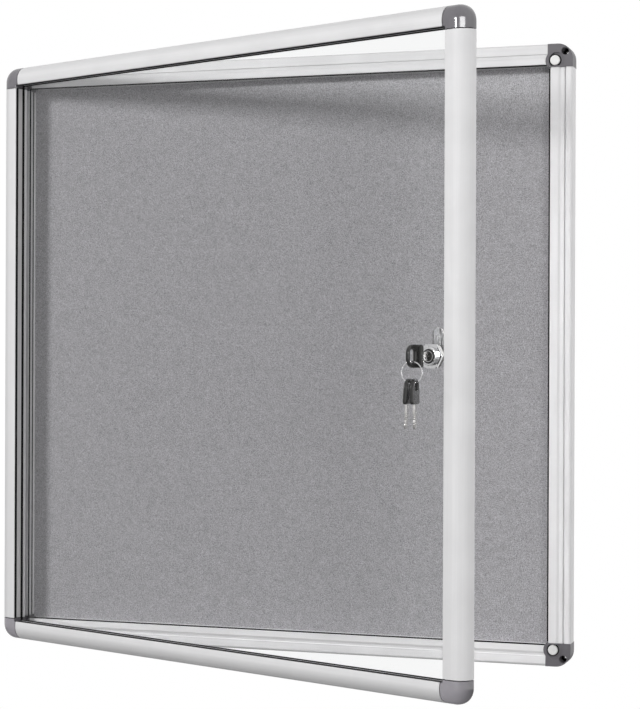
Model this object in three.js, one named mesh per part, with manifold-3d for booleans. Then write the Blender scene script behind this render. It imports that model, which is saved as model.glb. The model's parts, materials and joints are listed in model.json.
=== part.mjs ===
// Lockable notice board: wall cabinet with a felt pin board, a hinged glazed door and a cam lock
// Millimetres. X runs to the right, Y runs into the wall, Z runs up, the wall plane is Y = 0
import * as THREE from 'three';
import { mergeVertices } from 'three/addons/utils/BufferGeometryUtils.js';
import Module from 'manifold-3d';

const wasm = await Module();
wasm.setup();

// Overall size
const WIDTH = 700;
const HEIGHT = 700;
const FRAME_DEPTH = 22;
const CLEARANCE = 0.3;
const FIT_GAP = 0.03;
const MERGE_DISTANCE = 0.0005;

// Fixed frame section
const FRAME_STILE = 25.4;
const FRAME_RAIL = 23.2;
const FRAME_WALL = 1.5;
const FRAME_EDGE_RADIUS = 3;
const FRAME_CHANNEL_START = 8.4;
const FRAME_CHANNEL_FLOOR = 13.7;
const FRAME_CHANNEL_END = 16.3;
const FRAME_CHANNEL_DEPTH = 1;
const FRAME_LIP_CHAMFER = 0.4;
const WALL_STEP = 0.8;
const PANEL_REBATE = 4.6;
const FELT_THICKNESS = 1;
const CORE_THICKNESS = 3;
const BACK_THICKNESS = 0.5;

// Steps of the frame's inner wall, measured forward from the felt face
const WALL_STEP_AHEAD = 8.5;
const WALL_GROOVE_AHEAD = 5.5;
const WALL_GROOVE_WIDTH = 2.5;
const WALL_LIP_AHEAD = 1.7;

// Black edging round the inner front edge of the frame
const EDGING_WIDTH = 1.7;
const EDGING_FRONT = 0.2;
const EDGING_THICKNESS = 1.3;

// Frame corner pieces
const FRAME_CORNER_X = 28.5;
const FRAME_CORNER_Z = 26.3;
const FRAME_CORNER_RADIUS = 17;
const FRAME_CORNER_PROUD = 0.9;
const FRAME_CORNER_BEVEL = 0.7;
const SCREW_HOLE_X = 8.4;
const SCREW_HOLE_Z = 8.8;
const SCREW_HOLE_RADIUS = 4.1;
const SCREW_RIM_RADIUS = 4.7;
const SCREW_RIM_DEPTH = 0.6;
const BOSS_X = 20;
const BOSS_Z = 18.6;
const BOSS_RADIUS = 10.8;
const BOSS_RECESS_RADIUS = 8.7;
const BOSS_RECESS_SHIFT = 1.6;
const BOSS_PROUD = 1.1;
const BOSS_DEPTH = 7;
const BOSS_RECESS_DEPTH = 2.6;
const PAD_RADIUS = 5.6;
const PAD_PROUD = 1.3;
const PAD_EDGE = 0.6;
const SPIGOT_LENGTH = 9;
const SPIGOT_GAP = 0.2;

// Door section
const DOOR_GAP = 1.4;
const DOOR_DEPTH = 20;
const DOOR_STILE = 26.5;
const DOOR_RAIL = 22.5;
const DOOR_WALL = 1.5;
const SHOULDER_WIDTH = 16;
const SHOULDER_DEPTH = 15;
const DOOR_CROWN = 0.5;
const DOOR_REAR_RADIUS = 3;
const DOOR_INNER_RADIUS = 0.9;
const DOOR_GROOVE_START = 1.3;
const DOOR_GROOVE_WIDTH = 1.3;
const DOOR_GROOVE_DEPTH = 0.9;
const PANE_START = 12.2;
const PANE_THICKNESS = 2.5;
const PANE_INSERT = 7;
const GASKET_WALL = 0.8;
const GASKET_FLOOR = 1;
const GASKET_LIP = 0.8;

// Door corner caps
const DOOR_CORNER_X = 29;
const DOOR_CORNER_Z = 25.5;
const DOOR_CORNER_RADIUS = 18;
const CAP_SEAM = 0.3;

// Hinge
const HINGE_X = 3.5;
const HINGE_SETBACK = 7;
const PIN_RADIUS = 1.5;
const PIN_GAP = 0.15;
const PIN_START = 13;
const PIN_END = 24;
const LUG_START = 16.2;
const LUG_THICKNESS = 4.6;
const LUG_RADIUS = 3.2;
const LUG_ROOT = 1.5;
const LUG_SLOT_GAP = 0.4;
const LUG_SLOT_FRONT = 12.7;

// Lock
const LOCK_FROM_EDGE = 49.2;
const LOCK_DROP = 2;
const LOCK_FACE = 14.6;
const BODY_FACE = 14;
const BODY_HEAD_RADIUS = 9.6;
const BODY_THREAD_RADIUS = 8;
const BODY_BORE_RADIUS = 7.5;
const BODY_EDGE = 0.9;
const BODY_REAR = 2.8;
const FRONT_NUT_FLATS = 24.5;
const FRONT_NUT_THICKNESS = 2.6;
const REAR_NUT_FLATS = 22;
const REAR_NUT_THICKNESS = 3;
const NUT_CHAMFER = 0.5;
const WASHER_RADIUS = 11.5;
const WASHER_THICKNESS = 0.7;
const THREAD_GAP = 0.1;
const PLUG_RADIUS = 7.25;
const PLUG_EDGE = 0.6;
const PLUG_RING_RADIUS = 5.6;
const PLUG_RING_DEPTH = 0.5;
const PLUG_RING_WIDTH = 0.5;
const KEYWAY_WIDTH = 2.8;
const KEYWAY_HEIGHT = 8.8;
const KEYWAY_DEPTH = 16.2;
const TAIL_SIDE = 6.6;
const TAIL_GAP = 0.1;
const CAM_START = 3.1;
const CAM_THICKNESS = 1.5;
const CAM_WIDTH = 14.6;
const CAM_REACH = 29.4;
const CAM_TAIL = 8;
const CAM_RIB_WIDTH = 4;
const CAM_RIB_START = 10.5;
const CAM_RIB_END = 20.6;
const CAM_RIB_HEIGHT = 0.5;
const CAM_SCREW_RADIUS = 5.2;
const CAM_SCREW_HEAD = 2.2;
const CAM_SCREW_SHANK = 1.6;
const CAM_SCREW_LENGTH = 2.4;
const CAM_SCREW_SLOT = 1.2;
const KEEPER_FRONT = 1.6;
const KEEPER_REAR = 7.5;
const KEEPER_TOP = 18.5;
const KEEPER_BOTTOM = 9.8;

// Keys and ring
const KEY_HEAD_LENGTH = 25.5;
const KEY_HEAD_WIDTH = 23.4;
const KEY_HEAD_THICKNESS = 4;
const KEY_HEAD_BEVEL = 1;
const KEY_CORNER_RADIUS = 9.5;
const KEY_SHOULDER_EDGE = 2;
const KEY_HOLE_LENGTH = 9;
const KEY_HOLE_WIDTH = 13.2;
const KEY_HOLE_RADIUS = 2.6;
const KEY_END_STRIP = 3;
const KEY_BLADE_LENGTH = 25;
const KEY_BLADE_WIDTH = 8;
const KEY_BLADE_THICKNESS = 2.2;
const KEY_TOOTH_DEPTH = 2.2;
const KEY_STANDOFF = 9.5;
const RING_RADIUS = 11;
const RING_WIRE = 0.6;
const RING_LIFT = 3.8;
const RING_INSET = 8;
const KEY_HANG = 2;
const KEY_SPREAD = 3.2;

// Turns, in degrees
const DOOR_OPEN = 21.8;
const RING_TURN = 16;
const KEY_TURN = 22;
const KEY_A_LEAN = 4;
const KEY_B_LEAN = -0.4;
const FRAME_EDGE_END = 264;
const DOOR_REAR_END = 170;

// Shares of a length
const TOOTH_SHARES = [0.35, 1, 0.2, 0.75, 0.45, 0.9, 0.15];
const HALF_SHARE = 0.5;
const CROWN_SHARE = 0.2;
const DRAFT_SHARE = 0.94;

// Segment counts
const ROUND = 40;
const SMALL_ROUND = 32;
const CAP_ROUND = 56;
const CAM_CURVE = 16;
const CURVE = 10;
const KEY_CURVE = 8;
const EDGE_CURVE = 4;
const RING_SEGMENTS = 48;
const WIRE_SEGMENTS = 10;

// Derived values
const HALF_WIDTH = WIDTH / 2;
const HALF_HEIGHT = HEIGHT / 2;
const FRAME_FRONT = -FRAME_DEPTH;
const FELT_FACE = FRAME_DEPTH - FELT_THICKNESS - CORE_THICKNESS - BACK_THICKNESS;
const WALL_STEP_START = FELT_FACE - WALL_STEP_AHEAD;
const WALL_GROOVE_START = FELT_FACE - WALL_GROOVE_AHEAD;
const WALL_GROOVE_END = WALL_GROOVE_START + WALL_GROOVE_WIDTH;
const WALL_LIP_START = FELT_FACE - WALL_LIP_AHEAD;
const DOOR_REAR = FRAME_FRONT - DOOR_GAP;
const DOOR_FRONT = DOOR_REAR - DOOR_DEPTH;
const HINGE_AXIS_X = -HALF_WIDTH + HINGE_X;
const HINGE_AXIS_Y = DOOR_REAR - HINGE_SETBACK;
const LOCK_X = HALF_WIDTH - LOCK_FROM_EDGE;
const LOCK_Z = -LOCK_DROP;
const PANE_FRONT = DOOR_FRONT + PANE_START;
const PANE_REAR = PANE_FRONT + PANE_THICKNESS;
const CHANNEL_START = PANE_START - GASKET_WALL;
const CHANNEL_END = PANE_START + PANE_THICKNESS + GASKET_WALL;
const CHANNEL_INSERT = PANE_INSERT + GASKET_FLOOR;
const KEY_INNER = DOOR_REAR - LOCK_FACE - KEY_STANDOFF;
const KEY_OUTER = KEY_INNER - KEY_HEAD_LENGTH;
const HOLE_CENTRE = KEY_END_STRIP + KEY_HOLE_LENGTH / 2;
const STRIP_HEIGHT = (KEY_HEAD_WIDTH - KEY_HOLE_WIDTH) / 2;
const STRIP_CENTRE = (KEY_HOLE_WIDTH + STRIP_HEIGHT) / 2;
const RING_X = LOCK_X;
const RING_Y = KEY_OUTER + RING_INSET;
const RING_Z = LOCK_Z - STRIP_CENTRE - RING_RADIUS + RING_LIFT;

// Materials
const paint = (color, roughness, metalness) => new THREE.MeshStandardMaterial({ color, roughness, metalness });
const ALUMINIUM = paint(0xd9d9db, 0.38, 0.85);
const CORNER_GREY = paint(0x77757b, 0.55, 0);
const CAP_GREY = paint(0x6f6d73, 0.18, 0);
const WHITE = paint(0xf0f0ee, 0.5, 0);
const FELT = paint(0x9a9a9d, 0.95, 0);
const CORE = paint(0xb9a27c, 0.9, 0);
const BACKING = paint(0x8f9194, 0.6, 0.3);
const RUBBER = paint(0x161616, 0.7, 0);
const CLEAR = paint(0xe9eef0, 0.05, 0);
const CHROME = paint(0xd6d7d9, 0.12, 1);
const STEEL = paint(0x9fa1a5, 0.3, 1);
const BLACK = paint(0x2b2a28, 0.4, 0);

// Solids
function flip(geometry) {
  const index = geometry.index.array;
  for (let i = 0; i < index.length; i += 3) {
    const first = index[i];
    index[i] = index[i + 1];
    index[i + 1] = first;
  }
  return geometry;
}

function solid(geometry) {
  const bare = geometry.clone();
  bare.deleteAttribute('normal');
  bare.deleteAttribute('uv');
  const merged = mergeVertices(bare, MERGE_DISTANCE);
  const vertProperties = new Float32Array(merged.attributes.position.array);
  const triVerts = new Uint32Array(merged.index.array);
  return new wasm.Manifold(new wasm.Mesh({ numProp: 3, vertProperties, triVerts }));
}

function geometryOf(manifold) {
  const mesh = manifold.getMesh();
  const geometry = new THREE.BufferGeometry();
  geometry.setAttribute('position', new THREE.BufferAttribute(new Float32Array(mesh.vertProperties), 3));
  geometry.setIndex(new THREE.BufferAttribute(new Uint32Array(mesh.triVerts), 1));
  return geometry;
}

function join(...geometries) {
  return geometryOf(geometries.map(solid).reduce((whole, next) => whole.add(next)));
}

function cut(geometry, ...tools) {
  return geometryOf(tools.map(solid).reduce((whole, next) => whole.subtract(next), solid(geometry)));
}

function indexed(geometry) {
  const bare = geometry.clone();
  bare.deleteAttribute('normal');
  bare.deleteAttribute('uv');
  return mergeVertices(bare, MERGE_DISTANCE);
}

function box(x0, x1, y0, y1, z0, z1) {
  const geometry = new THREE.BoxGeometry(x1 - x0, y1 - y0, z1 - z0);
  geometry.translate((x0 + x1) / 2, (y0 + y1) / 2, (z0 + z1) / 2);
  return geometry;
}

// A revolve about the Y direction from points [radius, y] that start and end on the axis or close
function revolve(points, x, z, segments = ROUND) {
  const profile = points.map(([r, y]) => new THREE.Vector2(r, y));
  const geometry = indexed(new THREE.LatheGeometry(profile, segments));
  geometry.translate(x, 0, z);
  return outward(geometry);
}

function disc(radius, y0, y1, x, z, segments = ROUND) {
  return revolve([[0, y0], [radius, y0], [radius, y1], [0, y1]], x, z, segments);
}

function volume(geometry) {
  const p = geometry.attributes.position;
  const index = geometry.index.array;
  let sum = 0;
  const [a, b, c] = [new THREE.Vector3(), new THREE.Vector3(), new THREE.Vector3()];
  for (let i = 0; i < index.length; i += 3) {
    a.fromBufferAttribute(p, index[i]);
    b.fromBufferAttribute(p, index[i + 1]);
    c.fromBufferAttribute(p, index[i + 2]);
    sum += a.dot(b.cross(c));
  }
  return sum;
}

function outward(geometry) {
  return volume(geometry) < 0 ? flip(geometry) : geometry;
}

function shapeOf(points, holes = []) {
  const shape = new THREE.Shape(points.map(([a, b]) => new THREE.Vector2(a, b)));
  for (const hole of holes) shape.holes.push(new THREE.Path(hole.map(([a, b]) => new THREE.Vector2(a, b))));
  return shape;
}

function arc(cx, cy, rx, ry, from, to, segments = CURVE) {
  const points = [];
  for (let i = 0; i <= segments; i += 1) {
    const t = THREE.MathUtils.degToRad(from + ((to - from) * i) / segments);
    points.push([cx + rx * Math.cos(t), cy + ry * Math.sin(t)]);
  }
  return points;
}

function rounded(cx, cy, radius, from, to) {
  return arc(cx, cy, radius, radius, from, to, EDGE_CURVE);
}

function extrude(shape, depth, bevel = 0, bevelSegments = 2) {
  const options = { depth: depth - 2 * bevel, bevelEnabled: bevel > 0, curveSegments: CURVE };
  Object.assign(options, { bevelThickness: bevel, bevelSize: bevel, bevelOffset: -bevel, bevelSegments });
  const geometry = indexed(new THREE.ExtrudeGeometry(shape, options));
  geometry.translate(0, 0, bevel);
  return outward(geometry);
}

// A section [distance from the outer side, distance behind the front] run along one side of a frame
function side(section, hole, front, half, from, to, turns) {
  const geometry = extrude(shapeOf(section, hole ? [hole] : []), to - from);
  geometry.translate(-half, front, from);
  geometry.rotateY((turns * Math.PI) / 2);
  return geometry;
}

// A flat outline in X and Z, given a thickness along Y
function plate(points, holes, y0, y1, bevel = 0) {
  const geometry = extrude(shapeOf(points, holes), y1 - y0, bevel);
  geometry.rotateX(Math.PI / 2);
  geometry.translate(0, y1, 0);
  return geometry;
}

function mirrored(geometry, sx, sz) {
  const copy = geometry.clone();
  copy.scale(sx, 1, sz);
  return sx * sz < 0 ? flip(copy) : copy;
}

// Sections
function frameSection(width) {
  return [
    [FRAME_EDGE_RADIUS, 0],
    [FRAME_CHANNEL_START, 0],
    [FRAME_CHANNEL_START, FRAME_CHANNEL_DEPTH],
    [FRAME_CHANNEL_FLOOR, FRAME_CHANNEL_DEPTH],
    [FRAME_CHANNEL_END, 0],
    [width - FRAME_LIP_CHAMFER, 0],
    [width, FRAME_LIP_CHAMFER],
    [width, WALL_STEP_START],
    [width - WALL_STEP, WALL_STEP_START + WALL_STEP],
    [width - WALL_STEP, WALL_GROOVE_START],
    [width - 2 * WALL_STEP, WALL_GROOVE_START],
    [width - 2 * WALL_STEP, WALL_GROOVE_END],
    [width - WALL_STEP, WALL_GROOVE_END],
    [width - WALL_STEP, WALL_LIP_START],
    [width, WALL_LIP_START + WALL_STEP],
    [width, FELT_FACE],
    [width - PANEL_REBATE, FELT_FACE],
    [width - PANEL_REBATE, FRAME_DEPTH],
    ...rounded(FRAME_EDGE_RADIUS, FRAME_DEPTH - FRAME_EDGE_RADIUS, FRAME_EDGE_RADIUS, 90, 180),
    ...rounded(FRAME_EDGE_RADIUS, FRAME_EDGE_RADIUS, FRAME_EDGE_RADIUS, 180, FRAME_EDGE_END),
  ];
}

function frameCavity(width) {
  const inner = width - 2 * WALL_STEP - FRAME_WALL;
  const deep = FRAME_WALL + FRAME_CHANNEL_DEPTH;
  const behind = FELT_FACE - FRAME_WALL;
  return [
    [FRAME_EDGE_RADIUS, FRAME_WALL],
    [FRAME_CHANNEL_START - FRAME_WALL, FRAME_WALL],
    [FRAME_CHANNEL_START - FRAME_WALL, deep],
    [FRAME_CHANNEL_FLOOR, deep],
    [FRAME_CHANNEL_END, FRAME_WALL],
    [width - FRAME_WALL, FRAME_WALL],
    [width - FRAME_WALL, WALL_STEP_START],
    [inner, WALL_STEP_START + 2 * WALL_STEP],
    [inner, behind],
    [width - PANEL_REBATE - FRAME_WALL, behind],
    [width - PANEL_REBATE - FRAME_WALL, FRAME_DEPTH - FRAME_WALL],
    [FRAME_EDGE_RADIUS, FRAME_DEPTH - FRAME_WALL],
    [FRAME_WALL, FRAME_DEPTH - FRAME_EDGE_RADIUS],
    [FRAME_WALL, FRAME_EDGE_RADIUS],
  ];
}

function shoulder(inset, segments = CURVE) {
  const [width, depth] = [SHOULDER_WIDTH, SHOULDER_DEPTH];
  return arc(width, depth, width - inset, depth - inset, 180, 270, segments);
}

function doorSection(width) {
  const grooveEnd = DOOR_GROOVE_START + DOOR_GROOVE_WIDTH + DOOR_CROWN;
  const grooveStart = DOOR_GROOVE_START + DOOR_CROWN;
  const crowned = (SHOULDER_WIDTH + width) / 2;
  return [
    ...shoulder(0),
    [crowned, DOOR_CROWN * CROWN_SHARE],
    ...rounded(width - DOOR_INNER_RADIUS, DOOR_CROWN + DOOR_INNER_RADIUS, DOOR_INNER_RADIUS, 270, 360),
    [width, grooveStart],
    [width - DOOR_GROOVE_DEPTH, grooveStart],
    [width - DOOR_GROOVE_DEPTH, grooveEnd],
    [width, grooveEnd],
    [width, CHANNEL_START],
    [width - CHANNEL_INSERT, CHANNEL_START],
    [width - CHANNEL_INSERT, CHANNEL_END],
    [width, CHANNEL_END],
    [width, DOOR_DEPTH],
    ...rounded(DOOR_REAR_RADIUS, DOOR_DEPTH - DOOR_REAR_RADIUS, DOOR_REAR_RADIUS, 90, DOOR_REAR_END),
  ];
}

function doorCavity(width) {
  const wall = DOOR_WALL;
  const back = CHANNEL_START - wall;
  const inner = width - CHANNEL_INSERT - wall;
  const right = width - wall - DOOR_GROOVE_DEPTH;
  return [
    ...shoulder(wall, KEY_CURVE),
    [right, wall + DOOR_CROWN],
    [right, back],
    [inner, back],
    [inner, DOOR_DEPTH - wall],
    [DOOR_REAR_RADIUS + HALF_SHARE * wall, DOOR_DEPTH - wall],
    [wall, DOOR_DEPTH - DOOR_REAR_RADIUS - HALF_SHARE * wall],
  ];
}

// Fixed frame
function frameSide(width, half, reach, turns) {
  return side(frameSection(width), frameCavity(width), FRAME_FRONT, half, -reach, reach, turns);
}

function bossTool(sz) {
  const radius = BOSS_RADIUS + CLEARANCE;
  const x = HALF_WIDTH - BOSS_X;
  const z = sz * (HALF_HEIGHT - BOSS_Z);
  const front = FRAME_FRONT - BOSS_PROUD;
  return disc(radius, front - CLEARANCE, front + BOSS_DEPTH + CLEARANCE, x, z);
}

function frameRail(sz) {
  const reach = HALF_WIDTH - FRAME_CORNER_X;
  return cut(frameSide(FRAME_RAIL, HALF_HEIGHT, reach, sz > 0 ? 1 : 3), bossTool(sz));
}

function frameStile(sx) {
  return frameSide(FRAME_STILE, HALF_WIDTH, HALF_HEIGHT - FRAME_CORNER_Z, sx < 0 ? 0 : 2);
}

function keeperStile() {
  const wall = HALF_WIDTH - FRAME_STILE;
  const z0 = LOCK_Z - KEEPER_BOTTOM;
  const z1 = LOCK_Z + KEEPER_TOP;
  const y0 = FRAME_FRONT + KEEPER_FRONT;
  const y1 = FRAME_FRONT + KEEPER_REAR;
  const slot = box(wall - CLEARANCE, wall + 2 * FRAME_WALL, y0, y1, z0, z1);
  return cut(frameStile(1), slot);
}

function edgingStrip(x0, x1, z0, z1) {
  const y1 = FRAME_FRONT + EDGING_FRONT + EDGING_THICKNESS;
  const y0 = y1 - EDGING_THICKNESS + FRAME_LIP_CHAMFER;
  return cut(box(x0, x1, y0, y1, z0, z1), bossTool(1), bossTool(-1));
}

function rightEdging() {
  const x = HALF_WIDTH - FRAME_STILE;
  const z = HALF_HEIGHT - FRAME_RAIL;
  return edgingStrip(x - EDGING_WIDTH, x, -z, z);
}

function leftEdging() {
  const x = HALF_WIDTH - FRAME_STILE;
  const z = HALF_HEIGHT - FRAME_RAIL;
  return edgingStrip(-x, EDGING_WIDTH - x, -z, z);
}

function railEdging(sz) {
  const x = HALF_WIDTH - FRAME_STILE - EDGING_WIDTH;
  const z = HALF_HEIGHT - FRAME_RAIL;
  return mirrored(edgingStrip(-x, x, z - EDGING_WIDTH, z), 1, sz);
}

function panel(front, thickness) {
  const x = HALF_WIDTH - FRAME_STILE + PANEL_REBATE - CLEARANCE;
  const z = HALF_HEIGHT - FRAME_RAIL + PANEL_REBATE - CLEARANCE;
  return indexed(box(-x, x, front, front + thickness, -z, z));
}

// A corner outline in the top left corner: outer radius and two legs
function cornerOutline(legX, legZ, stile, rail, radius) {
  const left = -HALF_WIDTH;
  const top = HALF_HEIGHT;
  return [
    ...arc(left + radius, top - radius, radius, radius, 90, 180),
    [left, top - legZ],
    [left + stile, top - legZ],
    [left + stile, top - rail],
    [left + legX, top - rail],
    [left + legX, top],
  ];
}

function frameSpigots() {
  const gap = SPIGOT_GAP;
  const left = -HALF_WIDTH;
  const top = HALF_HEIGHT;
  const y0 = FRAME_FRONT + FRAME_WALL + FRAME_CHANNEL_DEPTH + gap;
  const y1 = -FRAME_WALL - gap - FRAME_EDGE_RADIUS;
  const from = FRAME_EDGE_RADIUS + gap;
  const railTo = FRAME_RAIL - PANEL_REBATE - FRAME_WALL - gap;
  const stileTo = FRAME_STILE - PANEL_REBATE - FRAME_WALL - gap;
  const insideX = left + FRAME_CORNER_X - FRAME_WALL;
  const insideZ = top - FRAME_CORNER_Z + FRAME_WALL;
  const endX = left + FRAME_CORNER_X + SPIGOT_LENGTH;
  const endZ = top - FRAME_CORNER_Z - SPIGOT_LENGTH;
  return [
    box(insideX, endX, y0, y1, top - railTo, top - from),
    box(left + from, left + stileTo, y0, y1, endZ, insideZ),
  ];
}

function screwHole() {
  const x = -HALF_WIDTH + SCREW_HOLE_X;
  const z = HALF_HEIGHT - SCREW_HOLE_Z;
  const front = FRAME_FRONT - FRAME_CORNER_PROUD;
  const points = [
    [0, front - CLEARANCE],
    [SCREW_RIM_RADIUS, front - CLEARANCE],
    [SCREW_RIM_RADIUS, front + SCREW_RIM_DEPTH],
    [SCREW_HOLE_RADIUS, front + SCREW_RIM_DEPTH],
    [SCREW_HOLE_RADIUS, CLEARANCE],
    [0, CLEARANCE],
  ];
  return revolve(points, x, z, SMALL_ROUND);
}

function panelPocket(legX, legZ) {
  const x0 = -HALF_WIDTH + FRAME_STILE - PANEL_REBATE;
  const z1 = HALF_HEIGHT - FRAME_RAIL + PANEL_REBATE;
  return box(x0, x0 + 2 * legX, FRAME_FRONT + FELT_FACE, CLEARANCE, z1 - 2 * legZ, z1);
}

function cornerBlock() {
  const front = FRAME_FRONT - FRAME_CORNER_PROUD;
  const outline = cornerOutline(FRAME_CORNER_X, FRAME_CORNER_Z, FRAME_STILE, FRAME_RAIL, FRAME_CORNER_RADIUS);
  const face = plate(outline, [], front, front + 3 * FRAME_CORNER_BEVEL, FRAME_CORNER_BEVEL);
  const block = plate(outline, [], front + FRAME_CORNER_BEVEL * 2, 0);
  return join(block, face, ...frameSpigots());
}

function hingeLug() {
  const z1 = HALF_HEIGHT - LUG_START;
  const y1 = FRAME_FRONT + LUG_ROOT;
  const outline = [
    ...arc(HINGE_AXIS_X, HINGE_AXIS_Y, LUG_RADIUS, LUG_RADIUS, 180, 360, CURVE * 2),
    [HINGE_AXIS_X + LUG_RADIUS, y1],
    [HINGE_AXIS_X - LUG_RADIUS, y1],
  ];
  const lug = extrude(shapeOf(outline), LUG_THICKNESS);
  lug.translate(0, 0, z1 - LUG_THICKNESS);
  return lug;
}

function upright(radius, z0, z1) {
  const geometry = new THREE.CylinderGeometry(radius, radius, z1 - z0, SMALL_ROUND);
  geometry.rotateX(Math.PI / 2);
  geometry.translate(HINGE_AXIS_X, HINGE_AXIS_Y, (z0 + z1) / 2);
  return geometry;
}

function pinBore() {
  return upright(PIN_RADIUS + PIN_GAP, HALF_HEIGHT - PIN_END - CLEARANCE, HALF_HEIGHT - PIN_START + CLEARANCE);
}

function leftCorner() {
  const whole = join(cornerBlock(), hingeLug());
  return cut(whole, screwHole(), panelPocket(FRAME_CORNER_X, FRAME_CORNER_Z), pinBore());
}

function rightCorner() {
  const x = -HALF_WIDTH + BOSS_X;
  const z = HALF_HEIGHT - BOSS_Z;
  const front = FRAME_FRONT - BOSS_PROUD;
  const boss = revolve([
    [0, front],
    [BOSS_RADIUS - FRAME_CORNER_BEVEL, front],
    [BOSS_RADIUS, front + FRAME_CORNER_BEVEL],
    [BOSS_RADIUS, front + BOSS_DEPTH],
    [0, front + BOSS_DEPTH],
  ], x, z);
  const trimmed = cut(boss, box(
    x - 2 * BOSS_RADIUS, -HALF_WIDTH + FRAME_STILE + CLEARANCE, front - BOSS_PROUD, 0,
    z - 2 * BOSS_RADIUS, HALF_HEIGHT - FRAME_CORNER_Z));
  const floor = front + BOSS_RECESS_DEPTH;
  const recess = disc(BOSS_RECESS_RADIUS, front - BOSS_PROUD, floor, x - BOSS_RECESS_SHIFT, z);
  const keepStile = box(
    x - 2 * BOSS_RADIUS, -HALF_WIDTH + FRAME_STILE, front - 2 * BOSS_PROUD, 0,
    z - 2 * BOSS_RADIUS, HALF_HEIGHT - FRAME_CORNER_Z + FRAME_WALL);
  const tool = cut(recess, keepStile);
  const whole = join(cornerBlock(), trimmed);
  return mirrored(cut(whole, screwHole(), panelPocket(FRAME_CORNER_X, FRAME_CORNER_Z), tool), -1, 1);
}

function pad() {
  const x = HALF_WIDTH - BOSS_X;
  const z = HALF_HEIGHT - BOSS_Z;
  const front = FRAME_FRONT - PAD_PROUD;
  const floor = FRAME_FRONT - BOSS_PROUD + BOSS_RECESS_DEPTH;
  return revolve([
    [0, front],
    [PAD_RADIUS - PAD_EDGE, front],
    [PAD_RADIUS, front + PAD_EDGE],
    [PAD_RADIUS, floor],
    [0, floor],
  ], x, z, SMALL_ROUND);
}

function hingePin() {
  return indexed(upright(PIN_RADIUS, HALF_HEIGHT - PIN_END, HALF_HEIGHT - PIN_START));
}

// Door, built closed
function doorSide(width, half, reach, turns) {
  return side(doorSection(width), doorCavity(width), DOOR_FRONT, half, -reach, reach, turns);
}

function doorRail(sz) {
  return doorSide(DOOR_RAIL, HALF_HEIGHT, HALF_WIDTH - DOOR_CORNER_X - CAP_SEAM, sz > 0 ? 1 : 3);
}

function doorStile(sx) {
  return doorSide(DOOR_STILE, HALF_WIDTH, HALF_HEIGHT - DOOR_CORNER_Z - CAP_SEAM, sx < 0 ? 0 : 2);
}

function capPuck() {
  const radius = DOOR_CORNER_RADIUS;
  const back = DOOR_DEPTH - DOOR_REAR_RADIUS;
  const outer = shoulder(0).map(([u, v]) => [radius - u, v]).reverse();
  const rear = rounded(radius - DOOR_REAR_RADIUS, back, DOOR_REAR_RADIUS, 0, 90);
  const points = [[0, 0], ...outer, ...rear, [0, DOOR_DEPTH]];
  const placed = points.map(([r, v]) => [r, DOOR_FRONT + v]);
  const puck = revolve(placed, -HALF_WIDTH + radius, HALF_HEIGHT - radius, CAP_ROUND);
  const quarter = box(
    -HALF_WIDTH - CLEARANCE, -HALF_WIDTH + radius, DOOR_FRONT - CLEARANCE, DOOR_REAR + CLEARANCE,
    HALF_HEIGHT - radius, HALF_HEIGHT + CLEARANCE);
  return geometryOf(solid(puck).intersect(solid(quarter)));
}

function capLegs() {
  const rail = side(doorSection(DOOR_RAIL), null, DOOR_FRONT, HALF_HEIGHT,
    -HALF_WIDTH + DOOR_CORNER_RADIUS, -HALF_WIDTH + DOOR_CORNER_X, 1);
  const stile = side(doorSection(DOOR_STILE), null, DOOR_FRONT, HALF_WIDTH,
    HALF_HEIGHT - DOOR_CORNER_Z, HALF_HEIGHT - DOOR_CORNER_RADIUS, 0);
  return [rail, stile];
}

function capSpigots() {
  const left = -HALF_WIDTH;
  const top = HALF_HEIGHT;
  const from = DOOR_REAR_RADIUS + DOOR_WALL;
  const y0 = DOOR_FRONT + CHANNEL_START - DOOR_WALL;
  const y1 = DOOR_REAR - DOOR_WALL - SPIGOT_GAP;
  const railTo = DOOR_RAIL - CHANNEL_INSERT - DOOR_WALL - SPIGOT_GAP;
  const stileTo = DOOR_STILE - CHANNEL_INSERT - DOOR_WALL - SPIGOT_GAP;
  const endX = left + DOOR_CORNER_X + SPIGOT_LENGTH;
  const endZ = top - DOOR_CORNER_Z - SPIGOT_LENGTH;
  return [
    box(left + DOOR_CORNER_X - DOOR_WALL, endX, y0, y1, top - railTo, top - from),
    box(left + from, left + stileTo, y0, y1, endZ, top - DOOR_CORNER_Z + DOOR_WALL),
  ];
}

function panePocket() {
  const x0 = -HALF_WIDTH + DOOR_STILE - CHANNEL_INSERT;
  const z1 = HALF_HEIGHT - DOOR_RAIL + CHANNEL_INSERT;
  const y0 = DOOR_FRONT + CHANNEL_START;
  const y1 = DOOR_FRONT + CHANNEL_END;
  return box(x0, x0 + 2 * DOOR_CORNER_X, y0, y1, z1 - 2 * DOOR_CORNER_Z, z1);
}

function doorCap() {
  return cut(join(capPuck(), ...capLegs(), ...capSpigots()), panePocket());
}

function hingeCap() {
  const z1 = HALF_HEIGHT - LUG_START + LUG_SLOT_GAP;
  const z0 = HALF_HEIGHT - LUG_START - LUG_THICKNESS - LUG_SLOT_GAP;
  const right = HINGE_AXIS_X + LUG_RADIUS + LUG_SLOT_GAP;
  const slot = box(-HALF_WIDTH - DOOR_WALL, right, DOOR_REAR - LUG_SLOT_FRONT, DOOR_REAR + DOOR_WALL, z0, z1);
  return cut(doorCap(), slot, pinBore());
}

function pane() {
  const x = HALF_WIDTH - DOOR_STILE + PANE_INSERT;
  const z = HALF_HEIGHT - DOOR_RAIL + PANE_INSERT;
  const outer = [[-x, -z], [x, -z], [x, z], [-x, z]];
  const radius = BODY_THREAD_RADIUS + CLEARANCE;
  const hole = arc(LOCK_X, LOCK_Z, radius, radius, 360, 360 / ROUND, ROUND - 1);
  return plate(outer, [hole], PANE_FRONT, PANE_REAR);
}

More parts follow.
